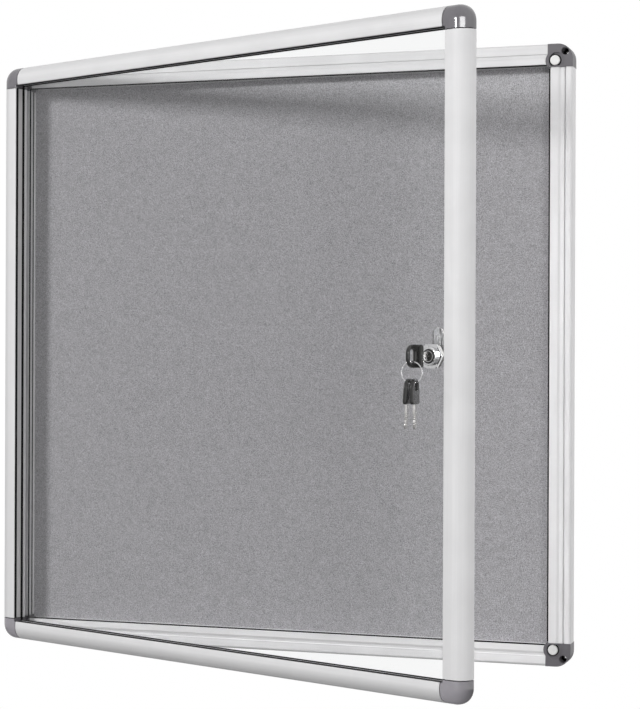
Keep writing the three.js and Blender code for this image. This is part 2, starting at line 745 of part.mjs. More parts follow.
function gasket(width, half, reach, turns) {
  const u0 = width - CHANNEL_INSERT + FIT_GAP;
  const u1 = width + GASKET_LIP;
  const floor = width - PANE_INSERT - FIT_GAP;
  const v0 = CHANNEL_START + FIT_GAP;
  const v1 = PANE_START - FIT_GAP;
  const v2 = PANE_START + PANE_THICKNESS + FIT_GAP;
  const v3 = CHANNEL_END - FIT_GAP;
  const section = [[u0, v0], [u1, v0], [u1, v1], [floor, v1], [floor, v2], [u1, v2], [u1, v3], [u0, v3]];
  return side(section, null, DOOR_FRONT, half, -reach, reach, turns);
}

function stileGasket(sx) {
  return gasket(DOOR_STILE, HALF_WIDTH, HALF_HEIGHT - DOOR_RAIL + CHANNEL_INSERT - FIT_GAP, sx < 0 ? 0 : 2);
}

function railGasket(sz) {
  return gasket(DOOR_RAIL, HALF_HEIGHT, HALF_WIDTH - DOOR_STILE - GASKET_LIP - FIT_GAP, sz > 0 ? 1 : 3);
}

// Lock
function hexNut(flats, y0, y1, bore) {
  const radius = flats / Math.sqrt(3);
  const corners = arc(LOCK_X, LOCK_Z, radius, radius, 0, 300, 5);
  const hole = arc(LOCK_X, LOCK_Z, bore, bore, 360, 360 / ROUND, ROUND - 1);
  const prism = plate(corners, [hole], y0, y1);
  const reach = flats * HALF_SHARE + NUT_CHAMFER;
  const lathed = revolve([
    [0, y0],
    [reach, y0],
    [radius + NUT_CHAMFER, y0 + NUT_CHAMFER * 2],
    [radius + NUT_CHAMFER, y1 + NUT_CHAMFER],
    [0, y1 + NUT_CHAMFER],
  ], LOCK_X, LOCK_Z);
  return geometryOf(solid(prism).intersect(solid(lathed)));
}

function lockBody() {
  const nutFront = PANE_FRONT - FRONT_NUT_THICKNESS;
  const face = DOOR_REAR - BODY_FACE;
  const rear = DOOR_REAR + BODY_REAR;
  return revolve([
    [BODY_BORE_RADIUS, face],
    [BODY_HEAD_RADIUS - BODY_EDGE, face],
    [BODY_HEAD_RADIUS, face + BODY_EDGE],
    [BODY_HEAD_RADIUS, nutFront],
    [BODY_THREAD_RADIUS, nutFront],
    [BODY_THREAD_RADIUS, rear],
    [BODY_BORE_RADIUS, rear],
    [BODY_BORE_RADIUS, face],
  ], LOCK_X, LOCK_Z);
}

function frontNut() {
  return hexNut(FRONT_NUT_FLATS, PANE_FRONT - FRONT_NUT_THICKNESS, PANE_FRONT, BODY_THREAD_RADIUS + THREAD_GAP);
}

function rearWasher() {
  const inner = BODY_THREAD_RADIUS + THREAD_GAP;
  const y1 = PANE_REAR + WASHER_THICKNESS;
  const outer = WASHER_RADIUS;
  const points = [[inner, PANE_REAR], [outer, PANE_REAR], [outer, y1], [inner, y1], [inner, PANE_REAR]];
  return revolve(points, LOCK_X, LOCK_Z);
}

function rearNut() {
  const y0 = PANE_REAR + WASHER_THICKNESS;
  const nut = hexNut(REAR_NUT_FLATS, -y0 - REAR_NUT_THICKNESS, -y0, BODY_THREAD_RADIUS + THREAD_GAP);
  nut.scale(1, -1, 1);
  return flip(nut);
}

function lockPlug() {
  const face = DOOR_REAR - LOCK_FACE;
  const rear = DOOR_REAR + BODY_REAR;
  const ringInner = PLUG_RING_RADIUS - PLUG_RING_WIDTH;
  const core = revolve([
    [0, face],
    [ringInner, face],
    [ringInner, face + PLUG_RING_DEPTH],
    [PLUG_RING_RADIUS, face + PLUG_RING_DEPTH],
    [PLUG_RING_RADIUS, face],
    [PLUG_RADIUS - PLUG_EDGE, face],
    [PLUG_RADIUS, face + PLUG_EDGE],
    [PLUG_RADIUS, rear],
    [0, rear],
  ], LOCK_X, LOCK_Z);
  const tail = TAIL_SIDE * HALF_SHARE;
  const square = box(LOCK_X - tail, LOCK_X + tail, rear - DOOR_WALL, DOOR_REAR + CAM_START + CAM_THICKNESS,
    LOCK_Z - tail, LOCK_Z + tail);
  const kx = KEYWAY_WIDTH * HALF_SHARE;
  const kz = KEYWAY_HEIGHT * HALF_SHARE;
  const keyway = box(LOCK_X - kx, LOCK_X + kx, face - CLEARANCE, face + KEYWAY_DEPTH, LOCK_Z - kz, LOCK_Z + kz);
  const end = DOOR_REAR + CAM_START + CAM_THICKNESS;
  const boreStart = end - CAM_SCREW_LENGTH - TAIL_GAP;
  const bore = disc(CAM_SCREW_SHANK + TAIL_GAP, boreStart, end + CLEARANCE, LOCK_X, LOCK_Z, SMALL_ROUND);
  return cut(join(core, square), keyway, bore);
}

function lockCam() {
  const half = CAM_WIDTH * HALF_SHARE;
  const top = CAM_REACH - half;
  const bottom = half - CAM_TAIL;
  const outline = [
    ...arc(LOCK_X, LOCK_Z + top, half, half, 0, 180, CAM_CURVE),
    ...arc(LOCK_X, LOCK_Z + bottom, half, half, 180, 360, CAM_CURVE),
  ];
  const y0 = DOOR_REAR + CAM_START;
  const y1 = y0 + CAM_THICKNESS;
  const blade = plate(outline, [], y0, y1);
  const rib = CAM_RIB_WIDTH * HALF_SHARE;
  const ribOutline = [
    ...arc(LOCK_X, LOCK_Z + CAM_RIB_END - rib, rib, rib, 0, 180),
    ...arc(LOCK_X, LOCK_Z + CAM_RIB_START + rib, rib, rib, 180, 360),
  ];
  const raised = plate(ribOutline, [], y0 - CAM_RIB_HEIGHT, y1 - CAM_RIB_HEIGHT);
  const hole = TAIL_SIDE * HALF_SHARE + TAIL_GAP;
  const square = box(
    LOCK_X - hole, LOCK_X + hole, y0 - CAM_THICKNESS, y1 + CAM_THICKNESS, LOCK_Z - hole, LOCK_Z + hole);
  return cut(join(blade, raised), square);
}

function camScrew() {
  const y0 = DOOR_REAR + CAM_START + CAM_THICKNESS;
  const screw = revolve([
    [0, y0 - CAM_SCREW_LENGTH],
    [CAM_SCREW_SHANK, y0 - CAM_SCREW_LENGTH],
    [CAM_SCREW_SHANK, y0],
    [CAM_SCREW_RADIUS, y0],
    [CAM_SCREW_RADIUS, y0 + CAM_SCREW_HEAD - NUT_CHAMFER],
    [CAM_SCREW_RADIUS - NUT_CHAMFER, y0 + CAM_SCREW_HEAD],
    [0, y0 + CAM_SCREW_HEAD],
  ], LOCK_X, LOCK_Z, SMALL_ROUND);
  const arm = CAM_SCREW_RADIUS * DRAFT_SHARE - NUT_CHAMFER;
  const half = CAM_SCREW_SLOT * HALF_SHARE;
  const y1 = y0 + CAM_SCREW_HEAD;
  const floor = y1 - CAM_SCREW_SLOT;
  const across = box(LOCK_X - arm, LOCK_X + arm, floor, y1 + CLEARANCE, LOCK_Z - half, LOCK_Z + half);
  const down = box(LOCK_X - half, LOCK_X + half, floor, y1 + CLEARANCE, LOCK_Z - arm, LOCK_Z + arm);
  return cut(screw, across, down);
}

// Keys, drawn in a flat frame: first coordinate along the key from the outer end, second across it
function keyHead() {
  const half = KEY_HEAD_WIDTH * HALF_SHARE;
  const corner = KEY_CORNER_RADIUS;
  const length = KEY_HEAD_LENGTH;
  const outline = [
    ...arc(corner, half - corner, corner, corner, 90, 180, KEY_CURVE),
    ...arc(corner, corner - half, corner, corner, 180, 270, KEY_CURVE),
    [length - KEY_SHOULDER_EDGE, -half],
    [length, -half + KEY_SHOULDER_EDGE],
    [length, half - KEY_SHOULDER_EDGE],
    [length - KEY_SHOULDER_EDGE, half],
  ];
  const hx = KEY_HOLE_LENGTH * HALF_SHARE - KEY_HOLE_RADIUS;
  const hz = KEY_HOLE_WIDTH * HALF_SHARE - KEY_HOLE_RADIUS;
  const r = KEY_HOLE_RADIUS;
  const hole = [
    ...rounded(HOLE_CENTRE + hx, hz, r, 0, 90),
    ...rounded(HOLE_CENTRE - hx, hz, r, 90, 180),
    ...rounded(HOLE_CENTRE - hx, -hz, r, 180, 270),
    ...rounded(HOLE_CENTRE + hx, -hz, r, 270, 360),
  ].reverse();
  const head = extrude(shapeOf(outline, [hole]), KEY_HEAD_THICKNESS, KEY_HEAD_BEVEL, 3);
  head.translate(0, 0, -KEY_HEAD_THICKNESS * HALF_SHARE);
  return head;
}

function keyBlade() {
  const half = KEY_BLADE_WIDTH * HALF_SHARE;
  const start = KEY_HEAD_LENGTH;
  const end = start + KEY_BLADE_LENGTH;
  const points = [[start, half], [start, -half], [start + KEY_STANDOFF - CLEARANCE, -half]];
  const step = (KEY_BLADE_LENGTH - KEY_STANDOFF) / (TOOTH_SHARES.length + 1);
  TOOTH_SHARES.forEach((share, i) => {
    const x = start + KEY_STANDOFF + step * i;
    points.push([x, -half + KEY_TOOTH_DEPTH * share]);
    points.push([x + step * HALF_SHARE, -half + KEY_TOOTH_DEPTH * share]);
  });
  points.push([end, -half + KEY_TOOTH_DEPTH]);
  points.push([end, half - KEY_TOOTH_DEPTH]);
  points.push([end - KEY_TOOTH_DEPTH, half]);
  const blade = extrude(shapeOf(points), KEY_BLADE_THICKNESS);
  blade.translate(0, 0, -KEY_BLADE_THICKNESS * HALF_SHARE);
  return blade;
}

// The inserted key: along the lock axis, its flat upright
function placeInserted(build) {
  const geometry = build();
  const basis = new THREE.Matrix4().makeBasis(
    new THREE.Vector3(0, 1, 0), new THREE.Vector3(0, 0, 1), new THREE.Vector3(1, 0, 0));
  geometry.applyMatrix4(basis);
  geometry.translate(LOCK_X, KEY_OUTER, LOCK_Z);
  return geometry;
}

function keyRing() {
  const geometry = indexed(new THREE.TorusGeometry(RING_RADIUS, RING_WIRE, WIRE_SEGMENTS, RING_SEGMENTS));
  geometry.rotateX(Math.PI / 2);
  geometry.rotateZ(THREE.MathUtils.degToRad(RING_TURN));
  geometry.translate(RING_X, RING_Y, RING_Z);
  return outward(geometry);
}

// A key hanging from the bottom of the ring
function placeHanging(build, spread, lean) {
  const geometry = build();
  geometry.translate(-KEY_END_STRIP - KEY_HANG, 0, 0);
  const basis = new THREE.Matrix4().makeBasis(
    new THREE.Vector3(0, 0, -1), new THREE.Vector3(0, 1, 0), new THREE.Vector3(1, 0, 0));
  geometry.applyMatrix4(basis);
  geometry.rotateY(THREE.MathUtils.degToRad(lean));
  geometry.rotateZ(THREE.MathUtils.degToRad(KEY_TURN));
  const turn = THREE.MathUtils.degToRad(RING_TURN);
  geometry.translate(
    RING_X + spread * Math.cos(turn), RING_Y + spread * Math.sin(turn), RING_Z - RING_RADIUS);
  return geometry;
}

// Assembly
const assembly = new THREE.Group();
assembly.name = 'notice_board';

function add(name, geometry, material) {
  const mesh = new THREE.Mesh(geometry, material);
  mesh.name = name;
  assembly.add(mesh);
}

function addToDoor(name, geometry, material) {
  geometry.translate(-HINGE_AXIS_X, -HINGE_AXIS_Y, 0);
  geometry.rotateZ(THREE.MathUtils.degToRad(-DOOR_OPEN));
  geometry.translate(HINGE_AXIS_X, HINGE_AXIS_Y, 0);
  add(name, geometry, material);
}

add('frame_top_rail', frameRail(1), ALUMINIUM);
add('frame_bottom_rail', frameRail(-1), ALUMINIUM);
add('frame_left_stile', frameStile(-1), ALUMINIUM);
add('frame_right_stile', keeperStile(), ALUMINIUM);
add('left_edging', leftEdging(), RUBBER);
add('right_edging', rightEdging(), RUBBER);
add('top_edging', railEdging(1), RUBBER);
add('bottom_edging', railEdging(-1), RUBBER);
for (const [place, sz] of [['top', 1], ['bottom', -1]]) {
  add(`frame_${place}_left_corner`, mirrored(leftCorner(), 1, sz), CORNER_GREY);
  add(`frame_${place}_right_corner`, mirrored(rightCorner(), 1, sz), CORNER_GREY);
  add(`${place}_door_buffer`, mirrored(pad(), 1, sz), WHITE);
  add(`${place}_hinge_pin`, mirrored(hingePin(), 1, sz), STEEL);
}
add('felt_sheet', panel(FRAME_FRONT + FELT_FACE, FELT_THICKNESS), FELT);
add('pin_board_core', panel(FRAME_FRONT + FELT_FACE + FELT_THICKNESS, CORE_THICKNESS), CORE);
add('back_sheet', panel(-BACK_THICKNESS, BACK_THICKNESS), BACKING);

for (const [place, sz] of [['top', 1], ['bottom', -1]]) {
  addToDoor(`door_${place}_rail`, doorRail(sz), ALUMINIUM);
  addToDoor(`door_${place}_left_cap`, mirrored(hingeCap(), 1, sz), CAP_GREY);
  addToDoor(`door_${place}_right_cap`, mirrored(doorCap(), -1, sz), CAP_GREY);
  addToDoor(`${place}_gasket`, railGasket(sz), RUBBER);
}
for (const [place, sx] of [['left', -1], ['right', 1]]) {
  addToDoor(`door_${place}_stile`, doorStile(sx), ALUMINIUM);
  addToDoor(`${place}_gasket`, stileGasket(sx), RUBBER);
}
addToDoor('door_pane', pane(), CLEAR);
addToDoor('lock_body', lockBody(), CHROME);
addToDoor('lock_front_nut', frontNut(), CHROME);
addToDoor('lock_washer', rearWasher(), STEEL);
addToDoor('lock_rear_nut', rearNut(), STEEL);
addToDoor('lock_plug', lockPlug(), BLACK);
addToDoor('lock_cam', lockCam(), STEEL);
addToDoor('lock_cam_screw', camScrew(), STEEL);
addToDoor('lock_key_head', placeInserted(keyHead), BLACK);
addToDoor('lock_key_blade', placeInserted(keyBlade), STEEL);
addToDoor('key_ring', keyRing(), STEEL);
for (const [place, spread, lean] of [['a', -KEY_SPREAD, KEY_A_LEAN], ['b', KEY_SPREAD, KEY_B_LEAN]]) {
  addToDoor(`key_${place}_head`, placeHanging(keyHead, spread, lean), BLACK);
  addToDoor(`key_${place}_blade`, placeHanging(keyBlade, spread, lean), STEEL);
}

export default assembly;
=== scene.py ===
"""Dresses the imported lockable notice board: finishes, trim, felt, lock, keys, light and camera."""

import json
import math

import bmesh
import bpy
from bpy.props import FloatProperty, FloatVectorProperty, IntProperty, PointerProperty
from mathutils import Matrix, Vector, noise


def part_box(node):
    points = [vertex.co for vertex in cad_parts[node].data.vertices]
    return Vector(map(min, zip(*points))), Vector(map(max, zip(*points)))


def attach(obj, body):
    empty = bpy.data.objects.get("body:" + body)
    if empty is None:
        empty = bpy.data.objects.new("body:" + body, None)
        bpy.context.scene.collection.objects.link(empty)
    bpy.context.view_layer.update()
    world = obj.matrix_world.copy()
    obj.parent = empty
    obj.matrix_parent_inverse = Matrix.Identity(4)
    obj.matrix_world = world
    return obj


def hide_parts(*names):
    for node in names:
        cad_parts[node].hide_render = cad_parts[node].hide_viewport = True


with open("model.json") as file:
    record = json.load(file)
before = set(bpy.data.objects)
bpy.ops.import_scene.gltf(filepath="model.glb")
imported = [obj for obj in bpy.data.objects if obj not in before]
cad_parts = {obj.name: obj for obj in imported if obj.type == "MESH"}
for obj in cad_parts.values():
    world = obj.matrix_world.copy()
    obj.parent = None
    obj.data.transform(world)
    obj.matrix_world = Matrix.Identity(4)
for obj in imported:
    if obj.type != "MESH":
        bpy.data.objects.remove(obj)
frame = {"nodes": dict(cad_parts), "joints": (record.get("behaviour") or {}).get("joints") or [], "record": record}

bl_info = {
    "name": "Lockable Notice Board",
    "version": (1, 0, 0),
    "blender": (4, 5, 0),
    "location": "View3D > Sidebar > Notice Board",
    "description": "Builds the finished look of a wall notice board with a lockable door",
    "category": "Object",
}

MM = 0.001
QUARTER = math.pi / 2

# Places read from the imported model
JOINTS = {joint["name"]: joint for joint in frame["joints"]}
HINGE = Vector(JOINTS["door_hinge"]["pos_m"])
DOOR_OPEN = -math.radians(JOINTS["door_hinge"]["range_deg"][0])
DOOR_PLACE = Matrix.Translation(HINGE) @ Matrix.Rotation(-DOOR_OPEN, 4, "Z") @ Matrix.Translation(-HINGE)
PLACES = {"cabinet": Matrix.Identity(4), "door": DOOR_PLACE}
LOCK_CLOSED = DOOR_PLACE.inverted() @ Vector(JOINTS["lock_turn"]["pos_m"])

# Sides with their quarter turns from the left one, and what the corners are named after
SIDES = (("left", 0), ("top", 1), ("right", 2), ("bottom", 3))
LEVELS = ("top", "bottom")
ACROSS = ("left", "right")
DOOR_CAPS = [f"door_{level}_{side}_cap" for level in LEVELS for side in ACROSS]

# Sections of the frame's bars, in metres
FRAME_EDGE = 3 * MM
FRAME_CHANNEL = (13.7 * MM, 16.3 * MM, 1 * MM)
CHANNEL_START = {"stile": 7.6 * MM, "rail": 11.4 * MM}
CHANNEL_GROOVE = {"stile": (1.6 * MM, 1.6 * MM), "rail": (1.3 * MM, 0.4 * MM)}
FRAME_LIP = 0.4 * MM
WALL_STEP = 0.8 * MM
WALL_STEP_FROM_FELT = 8.5 * MM
WALL_GROOVE_FROM_FELT = 6 * MM
WALL_GROOVE_TO_FELT = 2.7 * MM
WALL_LIP_FROM_FELT = 1.7 * MM
PANEL_REBATE = 4.6 * MM

# Sections of the door's bars. The groove has its start, width and depth. The black strip in each groove is partly
# a sealing strip and partly painted shade: on the rails the groove is 8.6 mm wide so that the strip stands for the
# dark, shaded underside of the top rail.
SHOULDER = (16 * MM, 15 * MM)
CROWN = 0.5 * MM
CROWN_SHARE = 0.2
DOOR_REAR_RADIUS = 3 * MM
DOOR_INNER_RADIUS = 0.9 * MM
DOOR_SHADE_GROOVE = {"stile": (1.1 * MM, 3.6 * MM, 0.9 * MM), "rail": (1.1 * MM, 8.6 * MM, 0.9 * MM)}
PANE_CHANNEL = (11.4 * MM, 15.5 * MM, 8 * MM)
CAP_GAP = 0.7 * MM

# Finish of a bar by its body and kind
ALUMINIUM = {
    ("cabinet", "stile"): "aluminium_upright", ("cabinet", "rail"): "aluminium_frame_rail",
    ("door", "stile"): "aluminium_door_upright", ("door", "rail"): "aluminium_door_rail"}

# Rounding of outlines: the least turn that counts as a corner, in degrees, and the steps round it
LEAST_TURN = 25
EASE_STEPS = 3

# Edges that turn more than this stay sharp, in degrees
BAR_SHARP_ANGLE = 18
SECTION_SHARP_ANGLE = 32
PIECE_SHARP_ANGLE = 35
COIL_SHARP_ANGLE = 40
FELT_SHARP_ANGLE = 40

# Cleaning of CAD meshes: points this close are one, and faces within this angle are flat
SAME_POINT = 1e-7
CAD_SAME_POINT = 2e-6
CAD_FLAT_ANGLE = 0.4

# Seals: a cord's rounding and how far it lies below its groove's mouth, then the gasket's wall
CORD_RADIUS = 0.3 * MM
CORD_RECESS = 0.1 * MM
GASKET_RADIUS = 0.2 * MM
GASKET_LIP = 0.8 * MM
GASKET_FLOOR = 1 * MM

# Radius left on the edges of the pieces that keep their CAD shape
EDGES = {
    "edging": 0.3 * MM, "corner": 0.25 * MM, "buffer": 0.25 * MM, "pin": 0.35 * MM, "cap": 0.2 * MM,
    "lock": 0.15 * MM, "washer": 0.1 * MM, "small": 0.12 * MM, "cam": 0.55 * MM, "key_head": 0.3 * MM}

# The tools that cut the frame's bars: corners of the cam's slot against the opening, and the boss
SLOT_LOW = Vector((-2, -0.1, -0.3)) * MM
SLOT_HIGH = Vector((-3.5, 0.1, 0.3)) * MM
BOSS_RADIUS = 11.1 * MM
BOSS_FRONT = -30 * MM
BOSS_REAR = -15.5 * MM

# Small turned trim
SCREW_HOLE = (8.4 * MM, 8.8 * MM, 4.05 * MM)
# The sleeve in each screw hole is black so that the hole looks dark: painted shade.
SLEEVE_FROM_BACK = 9 * MM
SLEEVE_CLEAR = 0.6 * MM
SLEEVE_BORE = 1.9 * MM
SLEEVE_FUNNEL = 2 * MM
SLEEVE_STEPS = 32
# The black ring round each buffer is painted shade for the recess round it.
SEAT_FROM_REAR = 0.5 * MM
SEAT_WIDTH = 1.3 * MM
SEAT_THICKNESS = 0.4 * MM
PLUG_RING = (5.12 * MM, 5.58 * MM)
PLUG_RING_RECESS = 0.1 * MM
PLUG_RING_REAR = 0.48 * MM

# Wire: the thread behind the rear nut, and the key ring's wire as shares of the CAD ring
THREAD_RADIUS = 8 * MM
THREAD_WIRE = 0.5 * MM
THREAD_FROM_NUT = 0.3 * MM
THREAD_FROM_END = 0.5 * MM
RING_WIRE_HEIGHT = 0.96
RING_WIRE_DEPTH = 0.92

# How square to the cam's axis a face has to lie to count as one of its flat sides; the other faces get the lighter
# steel as a painted highlight
CAM_FLAT_SHARE = 0.97

# Waves of the felt: how close they are, the layer of the noise, and their share
FELT_WAVES = ((110, 0.3, 1), (31, 1.7, 0.6))

# Stage: setting of each lamp's power, its width and height, and its place in metres
LAMPS = {
    "key_light": ("key_power", (0.85, 0.85), (-2.6, -4.35, 1.62)),
    "fill_light": ("fill_power", (1.0, 1.0), (2.2, -3.25, 0.3)),
    "strip_light": ("strip_power", (0.6, 1.4), (-0.1, -3.2, -0.6)),
    "cap_light": ("cap_power", (3.0, 2.4), (1.2, -4.68, 1.29)),
    "low_light": ("low_power", (1.5, 1.0), (-0.6, -2.6, -1.2)),
}
FLOOR_RADIUS = 4.5
FLOOR_COLOUR = (0.42, 0.42, 0.42)
FLOOR_WHITE = 0.85

# What glossy parts mirror: the axis, where the glow starts and ends along it, and its strengths
# The even light has the same four numbers along the upright axis
MIRRORED = ((1, -0.3, -0.95, 0.9, 0.62), (0, -0.4, 0.9, 0.8, 1.9), (2, -0.7, -0.1, 0.9, 1.0))
EVEN_LIGHT = (-0.5, 0.6, 0.4, 1.3)

# Camera fitted to the photo
LENS = 94.68
SENSOR_WIDTH = 36
LENS_SHIFT = (0.0140, 0.0026)
CAMERA_PLACE = (0.7340, -2.0963, -0.0025)
CAMERA_TURN = math.radians(18.474)
CAMERA_ROLL = math.radians(0.224)


def side_kind(turns):
    return "rail" if turns % 2 else "stile"


def bar_frame(body, turns):
    """The matrix from a bar's own frame, outer side left and run up, to its place on a body."""
    return PLACES[body] @ Matrix.Rotation(turns * QUARTER, 4, "Y")


def node_points(name):
    return [v.co.copy() for v in frame["nodes"][name].data.vertices]


def node_box(name, place):
    """The lowest and highest corners of a CAD node, seen from a placed frame."""
    back = place.inverted()
    points = [back @ p for p in node_points(name)]
    low = Vector([min(p[i] for p in points) for i in range(3)])
    high = Vector([max(p[i] for p in points) for i in range(3)])
    return low, high


# Settings that a user would change
def colour_of(name, what, default):
    return FloatVectorProperty(
        name=name, description="Colour of the " + what, default=default, min=0, max=1, subtype="COLOR")


def length_of(name, description, default, least=0):
    return FloatProperty(name=name, description=description, default=default, min=least, unit="LENGTH")


def strength_of(name, description, default):
    return FloatProperty(name=name, description=description, default=default, min=0)


class BoardMetal(bpy.types.PropertyGroup):
    edge_radius: length_of("Edge radius", "Radius left on the edges of the extruded bars", 0.00028)
    shoulder_steps: IntProperty(
        name="Shoulder steps", description="Faces round the curved shoulder of a door bar",
        default=28, min=6, max=64)
    aluminium: colour_of("Aluminium", "satin anodised aluminium", (0.715, 0.712, 0.717))
    bare_steel: colour_of("Steel", "nickel plated steel parts", (0.60, 0.59, 0.58))
    cam: colour_of("Cam", "zinc plated cam", (0.20, 0.20, 0.205))
    chrome: colour_of("Chrome", "polished lock body", (0.78, 0.78, 0.79))


class BoardPlastics(bpy.types.PropertyGroup):
    corner: colour_of("Frame corners", "matte corner pieces of the fixed frame", (0.138, 0.132, 0.144))
    cap: colour_of("Door caps", "glossy corner caps of the door", (0.178, 0.170, 0.185))
    buffer: colour_of("Buffers", "round pads that the door closes on", (0.93, 0.93, 0.92))
    # Black of the real rubber edging and gaskets, also used for the black pieces that paint shade in holes,
    # recesses and grooves
    seal_and_shade: colour_of("Seals", "rubber edging and gaskets", (0.010, 0.010, 0.010))
    key_head: colour_of("Key heads", "moulded key heads", (0.011, 0.0105, 0.010))


class BoardPanel(bpy.types.PropertyGroup):
    felt: colour_of("Felt", "pin board's felt", (0.525, 0.52, 0.54))
    fibre_length: length_of("Fibre length", "Length of the fibres that show in the felt", 0.0045, 0.0005)
    relief: length_of("Felt relief", "Height of the soft unevenness of the felt", 0.00006)
    relief_pitch: length_of("Relief pitch", "Distance between the points of the felt mesh", 0.0045, 0.001)
    board: colour_of("Soft board", "fibre board behind the felt", (0.42, 0.32, 0.20))
    back: colour_of("Back sheet", "zinc coated back sheet", (0.46, 0.47, 0.48))


class BoardLock(bpy.types.PropertyGroup):
    thread_pitch: length_of("Thread pitch", "Pitch of the thread on the lock body", 0.0009, 0.0003)
    ring_coils: IntProperty(
        name="Ring coils", description="Turns of wire in the split ring", default=2, min=1, max=3)


class BoardStage(bpy.types.PropertyGroup):
    floor_drop: length_of("Floor drop", "Height of the board's middle above the floor", 1.45, 0.4)
    key_power: strength_of("Key light", "Power of the main light at the front left", 152)
    fill_power: strength_of("Fill light", "Power of the soft light at the front right", 20)
    strip_power: strength_of("Strip light", "Power of the tall soft light in front", 2.5)
    cap_power: strength_of("Cap light", "Power of the wide light that shows in the glossy parts alone", 260)
    low_power: strength_of("Low light", "Power of the low light on the door's bottom caps", 72)
    surround: strength_of("Surround", "Strength of the even light from all round", 0.28)


# Sockets that hold something other than a number
SOCKETS = {"Vector": "Vector", "Run": "Vector", "Material": "Material", "Geometry": "Geometry"}


def fill(tree, node, values):
    """Gives a node's inputs their values: a socket is linked, anything else is set."""
    for key, value in values.items():
        if isinstance(value, bpy.types.NodeSocket):
            tree.links.new(value, node.inputs[key])
        else:
            node.inputs[key].default_value = value
    return node


def add_node(tree, kind, values=None, **settings):
    made = tree.nodes.new(kind)
    for key, value in settings.items():
        setattr(made, key, value)
    return fill(tree, made, values or {})


def node_group(kind, name, inputs, outputs):
    """A node group with its sockets: the tree, what it is given, and the node for its results."""
    tree = bpy.data.node_groups.new(name, kind)
    for in_out, sockets in (("INPUT", inputs), ("OUTPUT", outputs)):
        for label in sockets:
            tree.interface.new_socket(
                name=label, in_out=in_out, socket_type="NodeSocket" + SOCKETS.get(label, "Float"))
    return tree, tree.nodes.new("NodeGroupInput").outputs, tree.nodes.new("NodeGroupOutput")


def math_node(tree, operation, first, second):
    return add_node(tree, "ShaderNodeMath", {0: first, 1: second}, operation=operation).outputs[0]


def times(tree, first, second):
    return math_node(tree, "MULTIPLY", first, second)


def chained(tree, operation, values):
    """One value from a row of them, worked out from the first on."""
    total = values[0]
    for value in values[1:]:
        total = math_node(tree, operation, total, value)
    return total


def mixture(tree, *pairs):
    """The sum of values, each times its share."""
    return chained(tree, "ADD", [times(tree, value, share) for value, share in pairs])


def ranged(tree, value, low, high, to_low=0.0, to_high=1.0):
    values = {0: value, 1: low, 2: high, 3: to_low, 4: to_high}
    return add_node(tree, "ShaderNodeMapRange", values).outputs[0]


def between(tree, share, low, high):
    return ranged(tree, share, 0.0, 1.0, low, high)


def noise_node(tree, vector, scale, detail=2.0, roughness=0.5):
    values = {"Vector": vector, "Scale": scale, "Detail": detail, "Roughness": roughness}
    return add_node(tree, "ShaderNodeTexNoise", values).outputs["Fac"]


def cells(tree, vector, scale):
    values = {"Vector": vector, "Scale": scale, "Randomness": 1.0}
    return add_node(tree, "ShaderNodeTexVoronoi", values).outputs


def placed_vector(tree, vector, scale=(1, 1, 1), rotation=(0, 0, 0), location=(0, 0, 0)):
    values = {"Vector": vector, "Scale": scale, "Rotation": rotation, "Location": location}
    return add_node(tree, "ShaderNodeMapping", values).outputs[0]


def tinted(tree, colour, share, low, high):
    """A colour made darker or lighter by a share from 0 to 1."""
    values = {0: (*colour,), 3: between(tree, share, low, high)}
    return add_node(tree, "ShaderNodeVectorMath", values, operation="SCALE").outputs[0]


def bumped(tree, height, distance, strength=1.0):
    values = {"Height": height, "Distance": distance, "Strength": strength}
    return add_node(tree, "ShaderNodeBump", values).outputs[0]


def die_line_group():
    """Fine lines along the run of an extrusion, with the faint clouds of an etched finish."""
    tree, given, result = node_group(
        "ShaderNodeTree", "Die lines", ("Vector", "Lines", "Clouds"), ("Tone", "Height", "Cloud"))
    stretched = placed_vector(tree, given["Vector"], scale=(1, 1, 0.006))
    fine = noise_node(tree, stretched, given["Lines"], 3.0, 0.6)
    coarse = noise_node(tree, stretched, times(tree, given["Lines"], 0.22))
    lines = mixture(tree, (fine, 0.6), (coarse, 0.4))
    grain = noise_node(tree, given["Vector"], times(tree, given["Lines"], 3.0), 1.0)
    cloud = noise_node(tree, given["Vector"], given["Clouds"], 3.0, 0.55)
    fill(tree, result, {
        "Tone": ranged(tree, lines, 0.3, 0.7),
        "Height": mixture(tree, (lines, 0.75), (grain, 0.25)),
        "Cloud": ranged(tree, cloud, 0.3, 0.7)})
    return tree


def moulding_group():
    """The eroded skin of a moulded plastic part: fine pits over slow waves."""
    tree, given, result = node_group(
        "ShaderNodeTree", "Moulded skin", ("Vector", "Grain", "Waves"), ("Height", "Tone"))
    pits = cells(tree, given["Vector"], given["Grain"])["Distance"]
    fine = noise_node(tree, given["Vector"], times(tree, given["Grain"], 0.6), 2.0, 0.6)
    waves = noise_node(tree, given["Vector"], given["Waves"])
    fill(tree, result, {
        "Height": mixture(tree, (pits, 0.5), (fine, 0.5)), "Tone": ranged(tree, waves, 0.3, 0.7)})
    return tree


def hairline_group():
    """Fine handling scratches in three directions, as a mask."""
    tree, given, result = node_group(
        "ShaderNodeTree", "Hairlines", ("Vector", "Scale", "Amount"), ("Mask",))
    masks = []
    for turn in (0.35, 1.5, 2.6):
        turned = placed_vector(tree, given["Vector"], rotation=(turn * 0.4, turn * 0.7, turn))
        stretched = placed_vector(tree, turned, scale=(1, 0.045, 0.6), location=(turn, 0, 0))
        masks.append(ranged(tree, noise_node(tree, stretched, given["Scale"]), 0.635, 0.70))
    patches = noise_node(tree, given["Vector"], times(tree, given["Scale"], 0.12))
    shares = [chained(tree, "MAXIMUM", masks), ranged(tree, patches, 0.42, 0.62), given["Amount"]]
    fill(tree, result, {"Mask": chained(tree, "MULTIPLY", shares)})
    return tree


